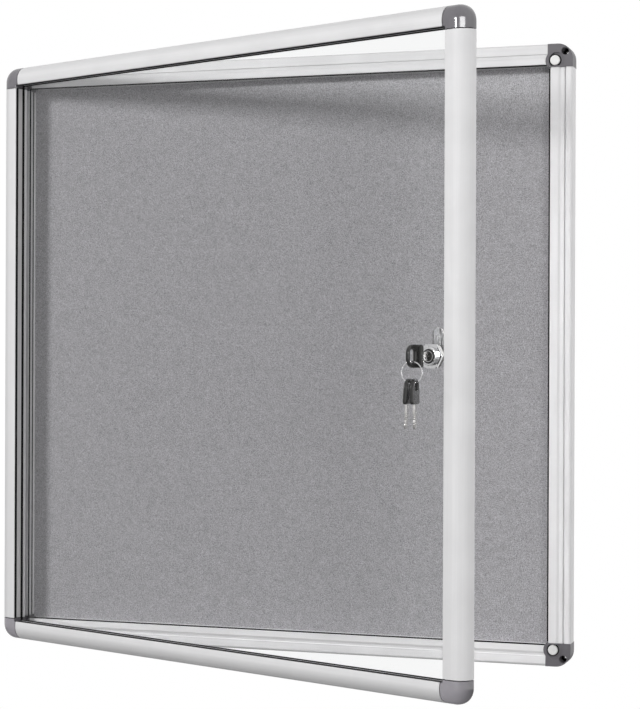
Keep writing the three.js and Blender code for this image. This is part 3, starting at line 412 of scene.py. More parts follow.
def fibre_group():
    """Felt: short fibres lying in many directions and fine specks, as tone and height."""
    tree, given, result = node_group(
        "ShaderNodeTree", "Felt fibres", ("Vector", "Length"), ("Tone", "Height", "Mottle"))
    vector = given["Vector"]
    scales = [math_node(tree, "DIVIDE", size, given["Length"]) for size in (5.5, 3.9, 0.55)]
    fibres = []
    for k, turn in enumerate((0.2, 0.9, 1.55, 2.3, 2.85)):
        turned = placed_vector(tree, vector, rotation=(0, turn, 0), location=(0.013 * k, 0.4 * k, 0))
        stretched = placed_vector(tree, turned, scale=(1, 1, 0.12))
        fibres.append(noise_node(tree, stretched, scales[0], 1.0))
    top = chained(tree, "MAXIMUM", fibres)
    low = chained(tree, "MINIMUM", fibres)
    speck = noise_node(tree, vector, scales[1], 3.0, 0.7)
    mottle = noise_node(tree, vector, scales[2], 3.0, 0.6)
    fill(tree, result, {
        "Tone": mixture(tree, (ranged(tree, top, 0.52, 0.78), 0.3), (ranged(tree, speck, 0.36, 0.64), 0.7)),
        "Height": math_node(tree, "ADD", ranged(tree, top, 0.5, 0.8), ranged(tree, low, 0.2, 0.5)),
        "Mottle": ranged(tree, mottle, 0.3, 0.7)})
    return tree


GROUPS = {}
GROUP_BUILDERS = {
    "die_lines": die_line_group, "moulding": moulding_group, "hairlines": hairline_group,
    "fibres": fibre_group}


def use_group(tree, name, **values):
    """The outputs of a shared group, which is built when it is first asked for."""
    if name not in GROUPS:
        GROUPS[name] = GROUP_BUILDERS[name]()
    return add_node(tree, "ShaderNodeGroup", values, node_tree=GROUPS[name]).outputs


# Materials
def new_material(name):
    """A material with its tree, its Principled shader, and the Object coordinates to draw on."""
    made = bpy.data.materials.new(name)
    made.use_nodes = True
    tree = made.node_tree
    vector = add_node(tree, "ShaderNodeTexCoord").outputs["Object"]
    return made, tree, tree.nodes["Principled BSDF"], vector


def show(tree, shader):
    tree.links.new(shader.outputs[0], tree.nodes["Material Output"].inputs["Surface"])


def aluminium_material(tree, shader, vector, turns, open_turn):
    """Satin extrusion whose die lines run along the bar, also on the opened door."""
    run = placed_vector(tree, vector, rotation=(0, 0, open_turn))
    if side_kind(turns) == "rail":
        run = placed_vector(tree, run, rotation=(0, QUARTER, 0))
    lines = use_group(tree, "die_lines", Vector=run, Lines=1300.0, Clouds=26.0)
    marks = use_group(tree, "hairlines", Vector=vector, Scale=120.0, Amount=0.35)
    cloudy = between(tree, lines["Cloud"], 0.70, 0.77)
    fill(tree, shader, {
        "Base Color": tinted(tree, bpy.context.scene.board_metal.aluminium, lines["Tone"], 0.965, 1.035),
        "Metallic": 0.7,
        "Roughness": mixture(tree, (cloudy, 1), (lines["Tone"], 0.04), (marks["Mask"], -0.12)),
        "Normal": bumped(tree, lines["Height"], 0.00004, 0.35)})


def plastic_material(tree, shader, vector, colour, rough, relief, coat=0.0):
    skin = use_group(tree, "moulding", Vector=vector, Grain=1500.0, Waves=70.0)
    marks = use_group(tree, "hairlines", Vector=vector, Scale=210.0, Amount=0.5)
    varied = between(tree, skin["Tone"], rough * 0.9, rough * 1.12)
    fill(tree, shader, {
        "Base Color": tinted(tree, colour, skin["Tone"], 0.94, 1.06),
        "Roughness": mixture(tree, (varied, 1), (marks["Mask"], 0.12)),
        "Coat Weight": coat,
        "Coat Roughness": 0.04,
        "Normal": bumped(tree, skin["Height"], relief)})


def metal_material(tree, shader, vector, colour, rough, relief, scratch):
    skin = use_group(tree, "moulding", Vector=vector, Grain=2600.0, Waves=240.0)
    marks = use_group(tree, "hairlines", Vector=vector, Scale=420.0, Amount=1.0)
    shade = mixture(tree, (skin["Tone"], 1), (marks["Mask"], -0.5))
    varied = between(tree, skin["Tone"], rough * 0.85, rough * 1.2)
    fill(tree, shader, {
        "Base Color": tinted(tree, colour, shade, 0.9, 1.06),
        "Metallic": 1.0,
        "Roughness": mixture(tree, (varied, 1), (marks["Mask"], scratch)),
        "Normal": bumped(tree, skin["Height"], relief)})


def cam_material(tree, shader, vector, colour):
    """Rolled steel with upright lines, duller than the polished parts. The lines are drawn in the bump and, with
    strong contrast, in the colour too: that colour is painted light and shade of fine upright ribs.
    """
    rib_shading = noise_node(tree, placed_vector(tree, vector, scale=(1, 1, 0.15)), 520.0, 2.0, 0.6)
    fill(tree, shader, {
        "Base Color": tinted(tree, colour, ranged(tree, rib_shading, 0.35, 0.65), 0.4, 1.9),
        "Metallic": 1.0,
        "Roughness": 0.3,
        "Normal": bumped(tree, rib_shading, 0.0006)})


def felt_material(tree, shader, vector, colour, fibre_length):
    fibres = use_group(tree, "fibres", Vector=vector, Length=fibre_length)
    shade = mixture(tree, (fibres["Tone"], 0.92), (fibres["Mottle"], 0.08))
    fill(tree, shader, {
        "Base Color": tinted(tree, colour, shade, 0.42, 1.58),
        "Roughness": 0.95,
        "Specular IOR Level": 0.15,
        "Sheen Weight": 0.15,
        "Sheen Roughness": 0.6,
        "Normal": bumped(tree, fibres["Height"], 0.00022, 0.7)})


def board_material(tree, shader, vector, colour):
    fibres = use_group(tree, "fibres", Vector=vector, Length=0.003)
    fill(tree, shader, {
        "Base Color": tinted(tree, colour, fibres["Tone"], 0.75, 1.2),
        "Roughness": 0.9,
        "Normal": bumped(tree, fibres["Height"], 0.0002)})


def back_material(tree, shader, vector, colour):
    """Zinc coated sheet: crystals of slightly different tone, with rolling marks."""
    warp = between(tree, noise_node(tree, vector, 30.0), 0.985, 1.015)
    moved = add_node(tree, "ShaderNodeVectorMath", {0: vector, 1: (1, 1, 1)}, operation="ADD").outputs[0]
    bent = add_node(tree, "ShaderNodeVectorMath", {0: moved, 3: warp}, operation="SCALE").outputs[0]
    crystals = cells(tree, bent, 70.0)["Color"]
    tone = add_node(tree, "ShaderNodeSeparateColor", {"Color": crystals}).outputs[0]
    lines = use_group(tree, "die_lines", Vector=vector, Lines=500.0, Clouds=9.0)
    shade = mixture(tree, (tone, 0.55), (lines["Cloud"], 0.45))
    fill(tree, shader, {
        "Base Color": tinted(tree, colour, shade, 0.82, 1.14),
        "Metallic": 0.75,
        "Roughness": between(tree, shade, 0.36, 0.52),
        "Normal": bumped(tree, lines["Height"], 0.00003, 0.5)})


def rubber_material(tree, shader, vector, colour):
    skin = use_group(tree, "moulding", Vector=vector, Grain=2000.0, Waves=90.0)
    fill(tree, shader, {
        "Base Color": tinted(tree, colour, skin["Tone"], 0.7, 1.6),
        "Roughness": between(tree, skin["Tone"], 0.55, 0.72),
        "Specular IOR Level": 0.12,
        "Normal": bumped(tree, skin["Height"], 0.00005)})


def pane_material(tree, shader, vector):
    """Clear sheet that lets lamp light through straight, so that what is behind stays lit."""
    fill(tree, shader, {
        "Base Color": (0.93, 0.935, 0.935, 1),
        "Transmission Weight": 1.0,
        "IOR": 1.49,
        "Specular Tint": (0.22, 0.22, 0.22, 1),
        "Roughness": ranged(tree, noise_node(tree, vector, 14.0, 3.0), 0.35, 0.7, 0.0, 0.03)})
    rays = add_node(tree, "ShaderNodeLightPath").outputs
    through = math_node(tree, "MAXIMUM", rays["Is Shadow Ray"], rays["Is Diffuse Ray"])
    clear = add_node(tree, "ShaderNodeBsdfTransparent", {"Color": (0.828, 0.823, 0.828, 1)})
    values = {0: through, 1: shader.outputs[0], 2: clear.outputs[0]}
    show(tree, add_node(tree, "ShaderNodeMixShader", values))


MATERIALS = {}


def material(name):
    """Each finish is made once, when a piece first asks for it."""
    metal = bpy.context.scene.board_metal
    plastics = bpy.context.scene.board_plastics
    panel = bpy.context.scene.board_panel
    recipes = {
        "aluminium_upright": (aluminium_material, 0, 0),
        "aluminium_frame_rail": (aluminium_material, 1, 0),
        "aluminium_door_upright": (aluminium_material, 0, DOOR_OPEN),
        "aluminium_door_rail": (aluminium_material, 1, DOOR_OPEN),
        "corner_plastic": (plastic_material, plastics.corner, 0.46, 0.00005),
        "cap_plastic": (plastic_material, plastics.cap, 0.13, 0.000006, 0.4),
        "white_plastic": (plastic_material, plastics.buffer, 0.4, 0.00003),
        "key_plastic": (plastic_material, plastics.key_head, 0.24, 0.00002, 0.2),
        "plug_enamel": (plastic_material, plastics.key_head, 0.3, 0.00001),
        "steel": (metal_material, metal.bare_steel, 0.24, 0.000006, 0.2),
        "ring_steel": (metal_material, metal.chrome, 0.14, 0.000003, 0.15),
        "chrome": (metal_material, metal.chrome, 0.07, 0.000002, 0.12),
        "cam_steel": (cam_material, metal.cam),
        "grey_felt": (felt_material, panel.felt, panel.fibre_length),
        "soft_board": (board_material, panel.board),
        "back_sheet": (back_material, panel.back),
        "black_rubber": (rubber_material, plastics.seal_and_shade),
        "clear_pane": (pane_material,),
    }
    if name not in MATERIALS:
        builder, *values = recipes[name]
        MATERIALS[name], *parts = new_material(name)
        builder(*parts, *values)
    return MATERIALS[name]


# Meshes
def arc(cx, cy, rx, ry, start, end, steps):
    points = []
    for i in range(steps + 1):
        t = math.radians(start + (end - start) * i / steps)
        points.append((cx + rx * math.cos(t), cy + ry * math.sin(t)))
    return points


def rectangle(left, right, low, high):
    return [(left, low), (right, low), (right, high), (left, high)]


def eased(points, radius):
    """Rounds the sharp corners of a closed outline."""
    made = []
    for i, here in enumerate(points):
        before = Vector(points[i - 1]) - Vector(here)
        after = Vector(points[(i + 1) % len(points)]) - Vector(here)
        turn = math.degrees(math.pi - before.angle(after))
        if turn < LEAST_TURN:
            made.append(tuple(here))
            continue
        half = (math.pi - math.radians(turn)) / 2
        reach = min(radius / math.tan(half), 0.45 * before.length, 0.45 * after.length)
        a = Vector(here) + before.normalized() * reach
        b = Vector(here) + after.normalized() * reach
        for k in range(EASE_STEPS + 1):
            t = k / EASE_STEPS
            made.append(tuple(a * (1 - t) ** 2 + Vector(here) * 2 * t * (1 - t) + b * t * t))
    return made


def linked_object(name, data):
    made = bpy.data.objects.new(name, data)
    bpy.context.scene.collection.objects.link(made)
    return made


def object_from(name, bm):
    mesh = bpy.data.meshes.new(name)
    bm.to_mesh(mesh)
    bm.free()
    return linked_object(name, mesh)


def baked(source):
    """The evaluated mesh of an object as a plain object. The source is removed."""
    name = source.name
    graph = bpy.context.evaluated_depsgraph_get()
    mesh = bpy.data.meshes.new_from_object(source.evaluated_get(graph))
    source.name = name + "_source"
    made = linked_object(name, mesh)
    bpy.data.objects.remove(source)
    return made


def facing_out(piece):
    bm = bmesh.new()
    bm.from_mesh(piece.data)
    bmesh.ops.remove_doubles(bm, verts=bm.verts, dist=SAME_POINT)
    bmesh.ops.recalc_face_normals(bm, faces=bm.faces)
    bm.to_mesh(piece.data)
    bm.free()
    return piece


def geometry_group(name, *inputs):
    return node_group("GeometryNodeTree", name, ("Geometry", *inputs, "Material"), ("Geometry",))


def finish_group(tree, mesh, given, result, sharp_angle):
    """Smooth faces with sharp edges above an angle, then real instances and the material."""
    smooth = add_node(tree, "GeometryNodeSetShadeSmooth", {0: mesh}, domain="FACE").outputs[0]
    angle = add_node(tree, "GeometryNodeInputMeshEdgeAngle").outputs["Unsigned Angle"]
    compare = add_node(
        tree, "FunctionNodeCompare", {0: angle, 1: math.radians(sharp_angle)}, data_type="FLOAT",
        operation="GREATER_THAN")
    sharp = add_node(
        tree, "GeometryNodeSetShadeSmooth",
        {0: smooth, "Selection": compare.outputs[0], "Shade Smooth": False}, domain="EDGE")
    real = add_node(tree, "GeometryNodeRealizeInstances", {0: sharp.outputs[0]}).outputs[0]
    values = {"Geometry": real, "Material": given["Material"]}
    fill(tree, result, {0: add_node(tree, "GeometryNodeSetMaterial", values).outputs[0]})
    return tree


def bar_group():
    """A closed bar from a section: the face is run along a vector and both ends are closed."""
    tree, given, result = geometry_group("Section bar", "Run", "Run Length")
    values = {
        "Mesh": given["Geometry"], "Offset": given["Run"], "Offset Scale": given["Run Length"],
        "Individual": False}
    extruded = add_node(tree, "GeometryNodeExtrudeMesh", values, mode="FACES").outputs[0]
    flipped = add_node(tree, "GeometryNodeFlipFaces", {0: given["Geometry"]}).outputs[0]
    joined = tree.nodes.new("GeometryNodeJoinGeometry")
    tree.links.new(extruded, joined.inputs[0])
    tree.links.new(flipped, joined.inputs[0])
    values = {0: joined.outputs[0], "Distance": SAME_POINT}
    merged = add_node(tree, "GeometryNodeMergeByDistance", values)
    return finish_group(tree, merged.outputs[0], given, result, SECTION_SHARP_ANGLE)


def coil_group():
    """Wire wound round a point: turns, pitch, radius and wire size, closed at both ends."""
    tree, given, result = geometry_group(
        "Wire coil", "Radius", "Turns", "Height", "Wire Height", "Wire Depth")
    spiral = add_node(tree, "GeometryNodeCurveSpiral", {
        "Resolution": 96, "Rotations": given["Turns"], "Start Radius": given["Radius"],
        "End Radius": given["Radius"], "Height": given["Height"]})
    values = {"Width": given["Wire Depth"], "Height": given["Wire Height"]}
    profile = add_node(tree, "GeometryNodeCurvePrimitiveQuadrilateral", values, mode="RECTANGLE")
    values = {"Curve": profile.outputs[0], "Count": 3, "Radius": times(tree, given["Wire Height"], 0.42)}
    rounded = add_node(tree, "GeometryNodeFilletCurve", values, mode="POLY")
    upright = add_node(tree, "GeometryNodeSetCurveNormal", {0: spiral.outputs[0]}, mode="Z_UP")
    values = {"Curve": upright.outputs[0], "Profile Curve": rounded.outputs[0], "Fill Caps": True}
    tube = add_node(tree, "GeometryNodeCurveToMesh", values)
    return finish_group(tree, tube.outputs[0], given, result, COIL_SHARP_ANGLE)


MESH_BUILDERS = {"bar": bar_group, "coil": coil_group}
MESH_GROUPS = {}


def with_group(piece, name, values):
    """Runs a node group on an object and keeps the plain mesh that it makes."""
    if name not in MESH_GROUPS:
        MESH_GROUPS[name] = MESH_BUILDERS[name]()
    modifier = piece.modifiers.new(name, "NODES")
    modifier.node_group = MESH_GROUPS[name]
    sockets = {
        item.name: item.identifier for item in MESH_GROUPS[name].interface.items_tree
        if item.item_type == "SOCKET" and item.in_out == "INPUT"}
    for key, value in values.items():
        modifier[sockets[key]] = value
    return baked(piece)


def section_bar(name, body, turns, low, high, outline, finish):
    """A bar with its outer side at low.x, its front at low.y and its run from low.z to high.z."""
    matrix = bar_frame(body, turns)
    start = matrix @ Matrix.Translation((0, 0, low.z))
    bm = bmesh.new()
    bm.faces.new([bm.verts.new(start @ Vector((low.x + u, low.y + v, 0))) for u, v in outline])
    run = matrix.to_3x3() @ Vector((0, 0, 1))
    values = {"Run": run, "Run Length": high.z - low.z, "Material": material(finish)}
    return facing_out(with_group(object_from(name, bm), "bar", values))


def coiled_wire(name, radius, turns, height, wire_height, wire_depth, finish):
    return with_group(object_from(name, bmesh.new()), "coil", {
        "Radius": radius, "Turns": turns, "Height": height, "Wire Height": wire_height,
        "Wire Depth": wire_depth, "Material": material(finish)})


def modified(piece, kind, **settings):
    """The plain mesh that a modifier makes of a piece."""
    modifier = piece.modifiers.new(kind, kind)
    for key, value in settings.items():
        setattr(modifier, key, value)
    return baked(piece)


def smoothed(piece, angle=PIECE_SHARP_ANGLE):
    """Smooth shading that keeps flat faces flat."""
    piece.data.shade_smooth()
    piece.data.set_sharp_from_angle(angle=math.radians(angle))
    return modified(piece, "WEIGHTED_NORMAL", keep_sharp=True, weight=60)


def clean_copy(node):
    """A merged copy of a CAD node's mesh with flat areas as single faces."""
    bm = bmesh.new()
    bm.from_mesh(frame["nodes"][node].data)
    bmesh.ops.remove_doubles(bm, verts=bm.verts, dist=CAD_SAME_POINT)
    flat = math.radians(CAD_FLAT_ANGLE)
    bmesh.ops.dissolve_limit(bm, angle_limit=flat, verts=bm.verts, edges=bm.edges)
    piece = object_from(node + "_finished", bm)
    while piece.data.uv_layers:
        piece.data.uv_layers.remove(piece.data.uv_layers[0])
    return piece


def carved(piece, cutter):
    made = modified(piece, "BOOLEAN", operation="DIFFERENCE", solver="EXACT", object=cutter)
    bpy.data.objects.remove(cutter)
    return made


def painted(piece, finish):
    piece.data.materials.clear()
    piece.data.materials.append(material(finish))
    for polygon in piece.data.polygons:
        polygon.material_index = 0
    return piece


def settle(piece, body, slot, *nodes):
    """Rides a finished piece on its body, in place of the CAD nodes that it stands for."""
    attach(piece, body)
    if nodes:
        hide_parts(*nodes)
    return piece


def dressed(node, body, finish, slot, edge, segments=2):
    """A CAD node's own shape with eased edges, smooth curves and a finish."""
    eased_piece = modified(
        clean_copy(node), "BEVEL", width=EDGES[edge], segments=segments, limit_method="ANGLE",
        angle_limit=math.radians(PIECE_SHARP_ANGLE), use_clamp_overlap=True)
    return settle(painted(smoothed(eased_piece), finish), body, slot, node)


def refinished(node, finish):
    """A CAD node that keeps its shape gets a finish in its own material slots."""
    for holder in frame["nodes"][node].material_slots:
        holder.material = material(finish)


def block(name, low, high):
    bm = bmesh.new()
    bmesh.ops.create_cube(bm, size=1)
    for v in bm.verts:
        share = v.co + Vector((0.5, 0.5, 0.5))
        v.co = [low[i] + (high[i] - low[i]) * share[i] for i in range(3)]
    bmesh.ops.recalc_face_normals(bm, faces=bm.faces)
    return object_from(name, bm)


def turned_body(name, points, matrix, steps=72):
    """A closed solid of revolution about the matrix's Y axis from points (radius, y)."""
    bm = bmesh.new()
    rings = []
    for radius, y in points:
        if radius < 1e-9:
            rings.append([bm.verts.new(matrix @ Vector((0, y, 0)))])
            continue
        ring = []
        for i in range(steps):
            t = 2 * math.pi * i / steps
            ring.append(bm.verts.new(matrix @ Vector((radius * math.cos(t), y, radius * math.sin(t)))))
        rings.append(ring)
    for a, b in zip(rings, rings[1:]):
        for i in range(steps):
            corners = [a[i % len(a)], a[(i + 1) % len(a)], b[(i + 1) % len(b)], b[i % len(b)]]
            unique = list(dict.fromkeys(corners))
            if len(unique) > 2:
                bm.faces.new(unique)
    bmesh.ops.recalc_face_normals(bm, faces=bm.faces)
    return object_from(name, bm)


def turned_trim(name, points, matrix, body, finish, slot, steps=72):
    """A small ring or sleeve that scene.py adds to a body. The last point closes on the first."""
    piece = facing_out(turned_body(name, [*points, points[0]], matrix, steps))
    return settle(smoothed(painted(piece, finish)), body, slot)


# Sections, as (distance from the outer side, distance behind the front)
def frame_section(kind, width, depth, felt):
    step = felt - WALL_STEP_FROM_FELT
    groove_start = felt - WALL_GROOVE_FROM_FELT
    groove_end = felt - WALL_GROOVE_TO_FELT
    lip = felt - WALL_LIP_FROM_FELT
    floor, end, deep = FRAME_CHANNEL
    start = CHANNEL_START[kind]
    groove_wide, groove_deep = CHANNEL_GROOVE[kind]
    wall, groove_floor = width - WALL_STEP, width - 2 * WALL_STEP
    return [
        (FRAME_EDGE, 0),
        (start, 0),
        (start, deep + groove_deep),
        (start + groove_wide, deep + groove_deep),
        (start + groove_wide, deep),
        (floor, deep),
        (end, 0),
        (width - FRAME_LIP, 0),
        (width, FRAME_LIP),
        (width, step),
        (wall, step + WALL_STEP),
        (wall, groove_start),
        (groove_floor, groove_start),
        (groove_floor, groove_end),
        (wall, groove_end),
        (wall, lip),
        (width, lip + WALL_STEP),
        (width, felt),
        (width - PANEL_REBATE, felt),
        (width - PANEL_REBATE, depth),
        *arc(FRAME_EDGE, depth - FRAME_EDGE, FRAME_EDGE, FRAME_EDGE, 90, 180, 8),
        *arc(FRAME_EDGE, FRAME_EDGE, FRAME_EDGE, FRAME_EDGE, 180, 264, 8),
    ]


def door_section(kind, width, depth):
    wide, deep = SHOULDER
    steps = bpy.context.scene.board_metal.shoulder_steps
    start, size, inset = DOOR_SHADE_GROOVE[kind]
    channel_start, channel_end, channel_deep = PANE_CHANNEL
    rear = DOOR_REAR_RADIUS
    inner = DOOR_INNER_RADIUS
    return [
        *arc(wide, deep, wide, deep, 180, 270, steps),
        ((wide + width) / 2, CROWN * CROWN_SHARE),
        *arc(width - inner, CROWN + inner, inner, inner, 270, 360, 6),
        (width, start + CROWN),
        (width - inset, start + CROWN),
        (width - inset, start + size + CROWN),
        (width, start + size + CROWN),
        (width, channel_start),
        (width - channel_deep, channel_start),
        (width - channel_deep, channel_end),
        (width, channel_end),
        (width, depth),
        *arc(rear, depth - rear, rear, rear, 90, 170, 6),
    ]


def gasket_section(width, depth):
    """A channel seal: a floor and the two lips that hold the pane."""
    return [
        (0, 0), (width, 0), (width, GASKET_LIP), (GASKET_FLOOR, GASKET_LIP),
        (GASKET_FLOOR, depth - GASKET_LIP), (width, depth - GASKET_LIP), (width, depth), (0, depth)]


def metal_bar(node, body, turns, low, high, outline, *cutters):
    """An extruded bar in place of its CAD node, with the lines of its finish along its run."""
    outline = eased(outline, bpy.context.scene.board_metal.edge_radius)
    finish = ALUMINIUM[body, side_kind(turns)]
    bar = section_bar(node + "_finished", body, turns, low, high, outline, finish)
    for cutter in cutters:
        bar = carved(bar, cutter)
    return settle(smoothed(bar, BAR_SHARP_ANGLE), body, "satin_aluminium", node)


def rubber_bar(name, body, turns, low, high, outline, radius=CORD_RADIUS, *nodes):
    """A black cord or gasket that runs along a bar. The gaskets are real rubber, while the black of the cords and
    strips also paints the shade in their grooves.
    """
    bar = section_bar(name, body, turns, low, high, eased(outline, radius), "black_rubber")
    return settle(bar, body, "black_rubber", *nodes)


class BOARD_OT_frame_bars(bpy.types.Operator):
    """Build the four extruded bars of the fixed frame, the black cords that paint the shade in their wall grooves,
    and the rubber edging
    """

    bl_idname = "notice_board.frame_bars"
    bl_label = "Frame Bars"

    def execute(self, context):
        for side, turns in SIDES:
            kind = side_kind(turns)
            node = f"frame_{side}_{kind}"
            low, high = node_box(node, bar_frame("cabinet", turns))
            width, felt = high.x - low.x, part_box("felt_sheet")[0].y - low.y
            cutters = [self.slot_tool()] if side == "right" else []
            if kind == "rail":
                cutters.append(self.boss_tool(side))
            outline = frame_section(kind, width, high.y - low.y, felt)
            metal_bar(node, "cabinet", turns, low, high, outline, *cutters)
            if kind == "stile":
                # A black cord fills the wall groove: painted shade for the dark recess there.
                groove = rectangle(
                    width - 2 * WALL_STEP, width - WALL_STEP - CORD_RECESS,
                    felt - WALL_GROOVE_FROM_FELT, felt - WALL_GROOVE_TO_FELT)
                rubber_bar(side + "_wall_seal", "cabinet", turns, low, high, groove)
            dressed(side + "_edging", "cabinet", "black_rubber", "black_rubber", "edging", 3)
        return {"FINISHED"}

    def slot_tool(self):
        """The tool for the opening in the right stile that the cam turns into."""
        keeper = next(o for o in frame["record"]["physics"]["openings"] if o["name"] == "keeper_slot")
        low, high = [Vector(v) for v in keeper["box_m"]]
        return block("slot_tool", low + SLOT_LOW, high + SLOT_HIGH)

    def boss_tool(self, side):
        """The tool that frees a rail from the boss of the corner piece at its right end."""
        low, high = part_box(side + "_door_buffer")
        centre = (low + high) / 2
        points = [(0, BOSS_FRONT), (BOSS_RADIUS, BOSS_FRONT), (BOSS_RADIUS, BOSS_REAR), (0, BOSS_REAR)]
        return turned_body("boss_tool", points, Matrix.Translation((centre.x, 0, centre.z)))


class BOARD_OT_frame_corners(bpy.types.Operator):
    """Build the corner pieces of the fixed frame, the door buffers and the hinge pins, with black sleeves and
    rings that paint the shade in the screw holes and round the buffers
    """

    bl_idname = "notice_board.frame_corners"
    bl_label = "Frame Corners"

    def execute(self, context):
        for level in LEVELS:
            for side in ACROSS:
                node = f"frame_{level}_{side}_corner"
                dressed(node, "cabinet", "corner_plastic", "corner_plastic", "corner")
                self.painted_shade_sleeve(level, side)
            dressed(f"{level}_door_buffer", "cabinet", "white_plastic", "white_plastic", "buffer", 3)
            self.buffer_shade_ring(level)
            dressed(f"{level}_hinge_pin", "cabinet", "steel", "steel", "pin", 3)
        return {"FINISHED"}

    def painted_shade_sleeve(self, level, side):
        """A black sleeve deep in a corner's screw hole: painted shade that keeps the hole dark."""
        low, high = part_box(f"frame_{level}_{side}_corner")
        across, down, radius = SCREW_HOLE
        x = low.x + across if side == "left" else high.x - across
        z = low.z + down if level == "bottom" else high.z - down
        near, far = high.y - SLEEVE_FROM_BACK, high.y - SLEEVE_CLEAR
        points = [(SLEEVE_BORE, far), (SLEEVE_BORE, near + SLEEVE_FUNNEL), (radius, near), (radius, far)]
        turned_trim(
            f"{level}_{side}_screw_sleeve", points, Matrix.Translation((x, 0, z)),
            "cabinet", "black_rubber", "black_rubber", SLEEVE_STEPS)

    def buffer_shade_ring(self, level):
        """A black ring round a buffer on the floor of its recess: painted shade that darkens the recess."""
        low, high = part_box(f"{level}_door_buffer")
        centre = (low + high) / 2
        inner = (high.x - low.x) / 2
        outer = inner + SEAT_WIDTH
        floor = high.y - SEAT_FROM_REAR
        rear = floor + SEAT_THICKNESS
        turned_trim(
            level + "_buffer_seat", [(inner, rear), (inner, floor), (outer, floor), (outer, rear)],
            Matrix.Translation((centre.x, 0, centre.z)), "cabinet", "black_rubber", "black_rubber")


class BOARD_OT_pin_board(bpy.types.Operator):
    """Build the felt face of the pin board, and finish the board and back sheet behind it"""

    bl_idname = "notice_board.pin_board"
    bl_label = "Pin Board"

    def execute(self, context):
        low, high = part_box("felt_sheet")
        felt = self.felt(context.scene.board_panel, low, high)
        felt.data.shade_smooth()
        felt.data.set_sharp_from_angle(angle=math.radians(FELT_SHARP_ANGLE))
        settle(painted(felt, "grey_felt"), "cabinet", "grey_felt", "felt_sheet")
        refinished("pin_board_core", "soft_board")
        refinished("back_sheet", "back_sheet")
        return {"FINISHED"}

    def felt(self, settings, low, high):
        """A closed sheet with a fine, softly uneven net of faces in front and one face behind."""
        bm = bmesh.new()
        columns = round((high.x - low.x) / settings.relief_pitch)
        rows = round((high.z - low.z) / settings.relief_pitch)
        grid = []
        for j in range(rows + 1):
            z = low.z + (high.z - low.z) * j / rows
            line = []
            for i in range(columns + 1):
                x = low.x + (high.x - low.x) * i / columns
                inside = 0 < i < columns and 0 < j < rows
                wave = sum(share * noise.noise(Vector((x, y, z)) * scale) for scale, y, share in FELT_WAVES)
                lift = settings.relief * (1 + 0.5 * wave) if inside else 0
                line.append(bm.verts.new((x, low.y + 2 * settings.relief - lift, z)))
            grid.append(line)
        for a, b in zip(grid, grid[1:]):
            for i in range(columns):
                bm.faces.new((a[i], a[i + 1], b[i + 1], b[i]))
        right, left = [line[-1] for line in grid[1:]], [line[0] for line in grid[-2:0:-1]]
        edge = grid[0] + right + grid[-1][-2::-1] + left
        rear = [bm.verts.new((v.co.x, high.y, v.co.z)) for v in edge]
        for i in range(len(edge)):
            k = (i + 1) % len(edge)
            bm.faces.new((edge[k], edge[i], rear[i], rear[k]))
        bm.faces.new(list(reversed(rear)))
        bmesh.ops.recalc_face_normals(bm, faces=bm.faces)
        return object_from("felt_face", bm)


class BOARD_OT_door_bars(bpy.types.Operator):
    """Build the four rounded bars of the door with the black front strips, which are partly painted shade, and the
    gaskets that hold the pane
    """

    bl_idname = "notice_board.door_bars"
    bl_label = "Door Bars"

    def execute(self, context):
        gap = Vector((0, 0, CAP_GAP))
        for side, turns in SIDES:
            kind = side_kind(turns)
            node = f"door_{side}_{kind}"
            low, high = node_box(node, bar_frame("door", turns))
            width = high.x - low.x
            outline = door_section(kind, width, high.y - low.y)
            metal_bar(node, "door", turns, low + gap, high - gap, outline)
            self.gasket(side + "_gasket", turns)
            start, size, inset = DOOR_SHADE_GROOVE[kind]
            # The black strip is partly a sealing strip and partly painted shade along the bar's inner edge.
            groove = rectangle(width - inset, width - CORD_RECESS, CROWN + start, CROWN + start + size)
            rubber_bar(side + "_front_seal", "door", turns, low, high, groove)
        return {"FINISHED"}

    def gasket(self, node, turns):
        low, high = node_box(node, bar_frame("door", turns))
        outline = gasket_section(high.x - low.x, high.y - low.y)
        rubber_bar(node + "_finished", "door", turns, low, high, outline, GASKET_RADIUS, node)


class BOARD_OT_door_caps(bpy.types.Operator):
    """Build the glossy corner caps of the door"""

    bl_idname = "notice_board.door_caps"
    bl_label = "Door Caps"

    def execute(self, context):
        for node in DOOR_CAPS:
            dressed(node, "door", "cap_plastic", "cap_plastic", "cap")
        return {"FINISHED"}


class BOARD_OT_pane(bpy.types.Operator):
    """Give the door's pane its clear finish"""

    bl_idname = "notice_board.pane"
    bl_label = "Pane"

    def execute(self, context):
        refinished("door_pane", "clear_pane")
        return {"FINISHED"}


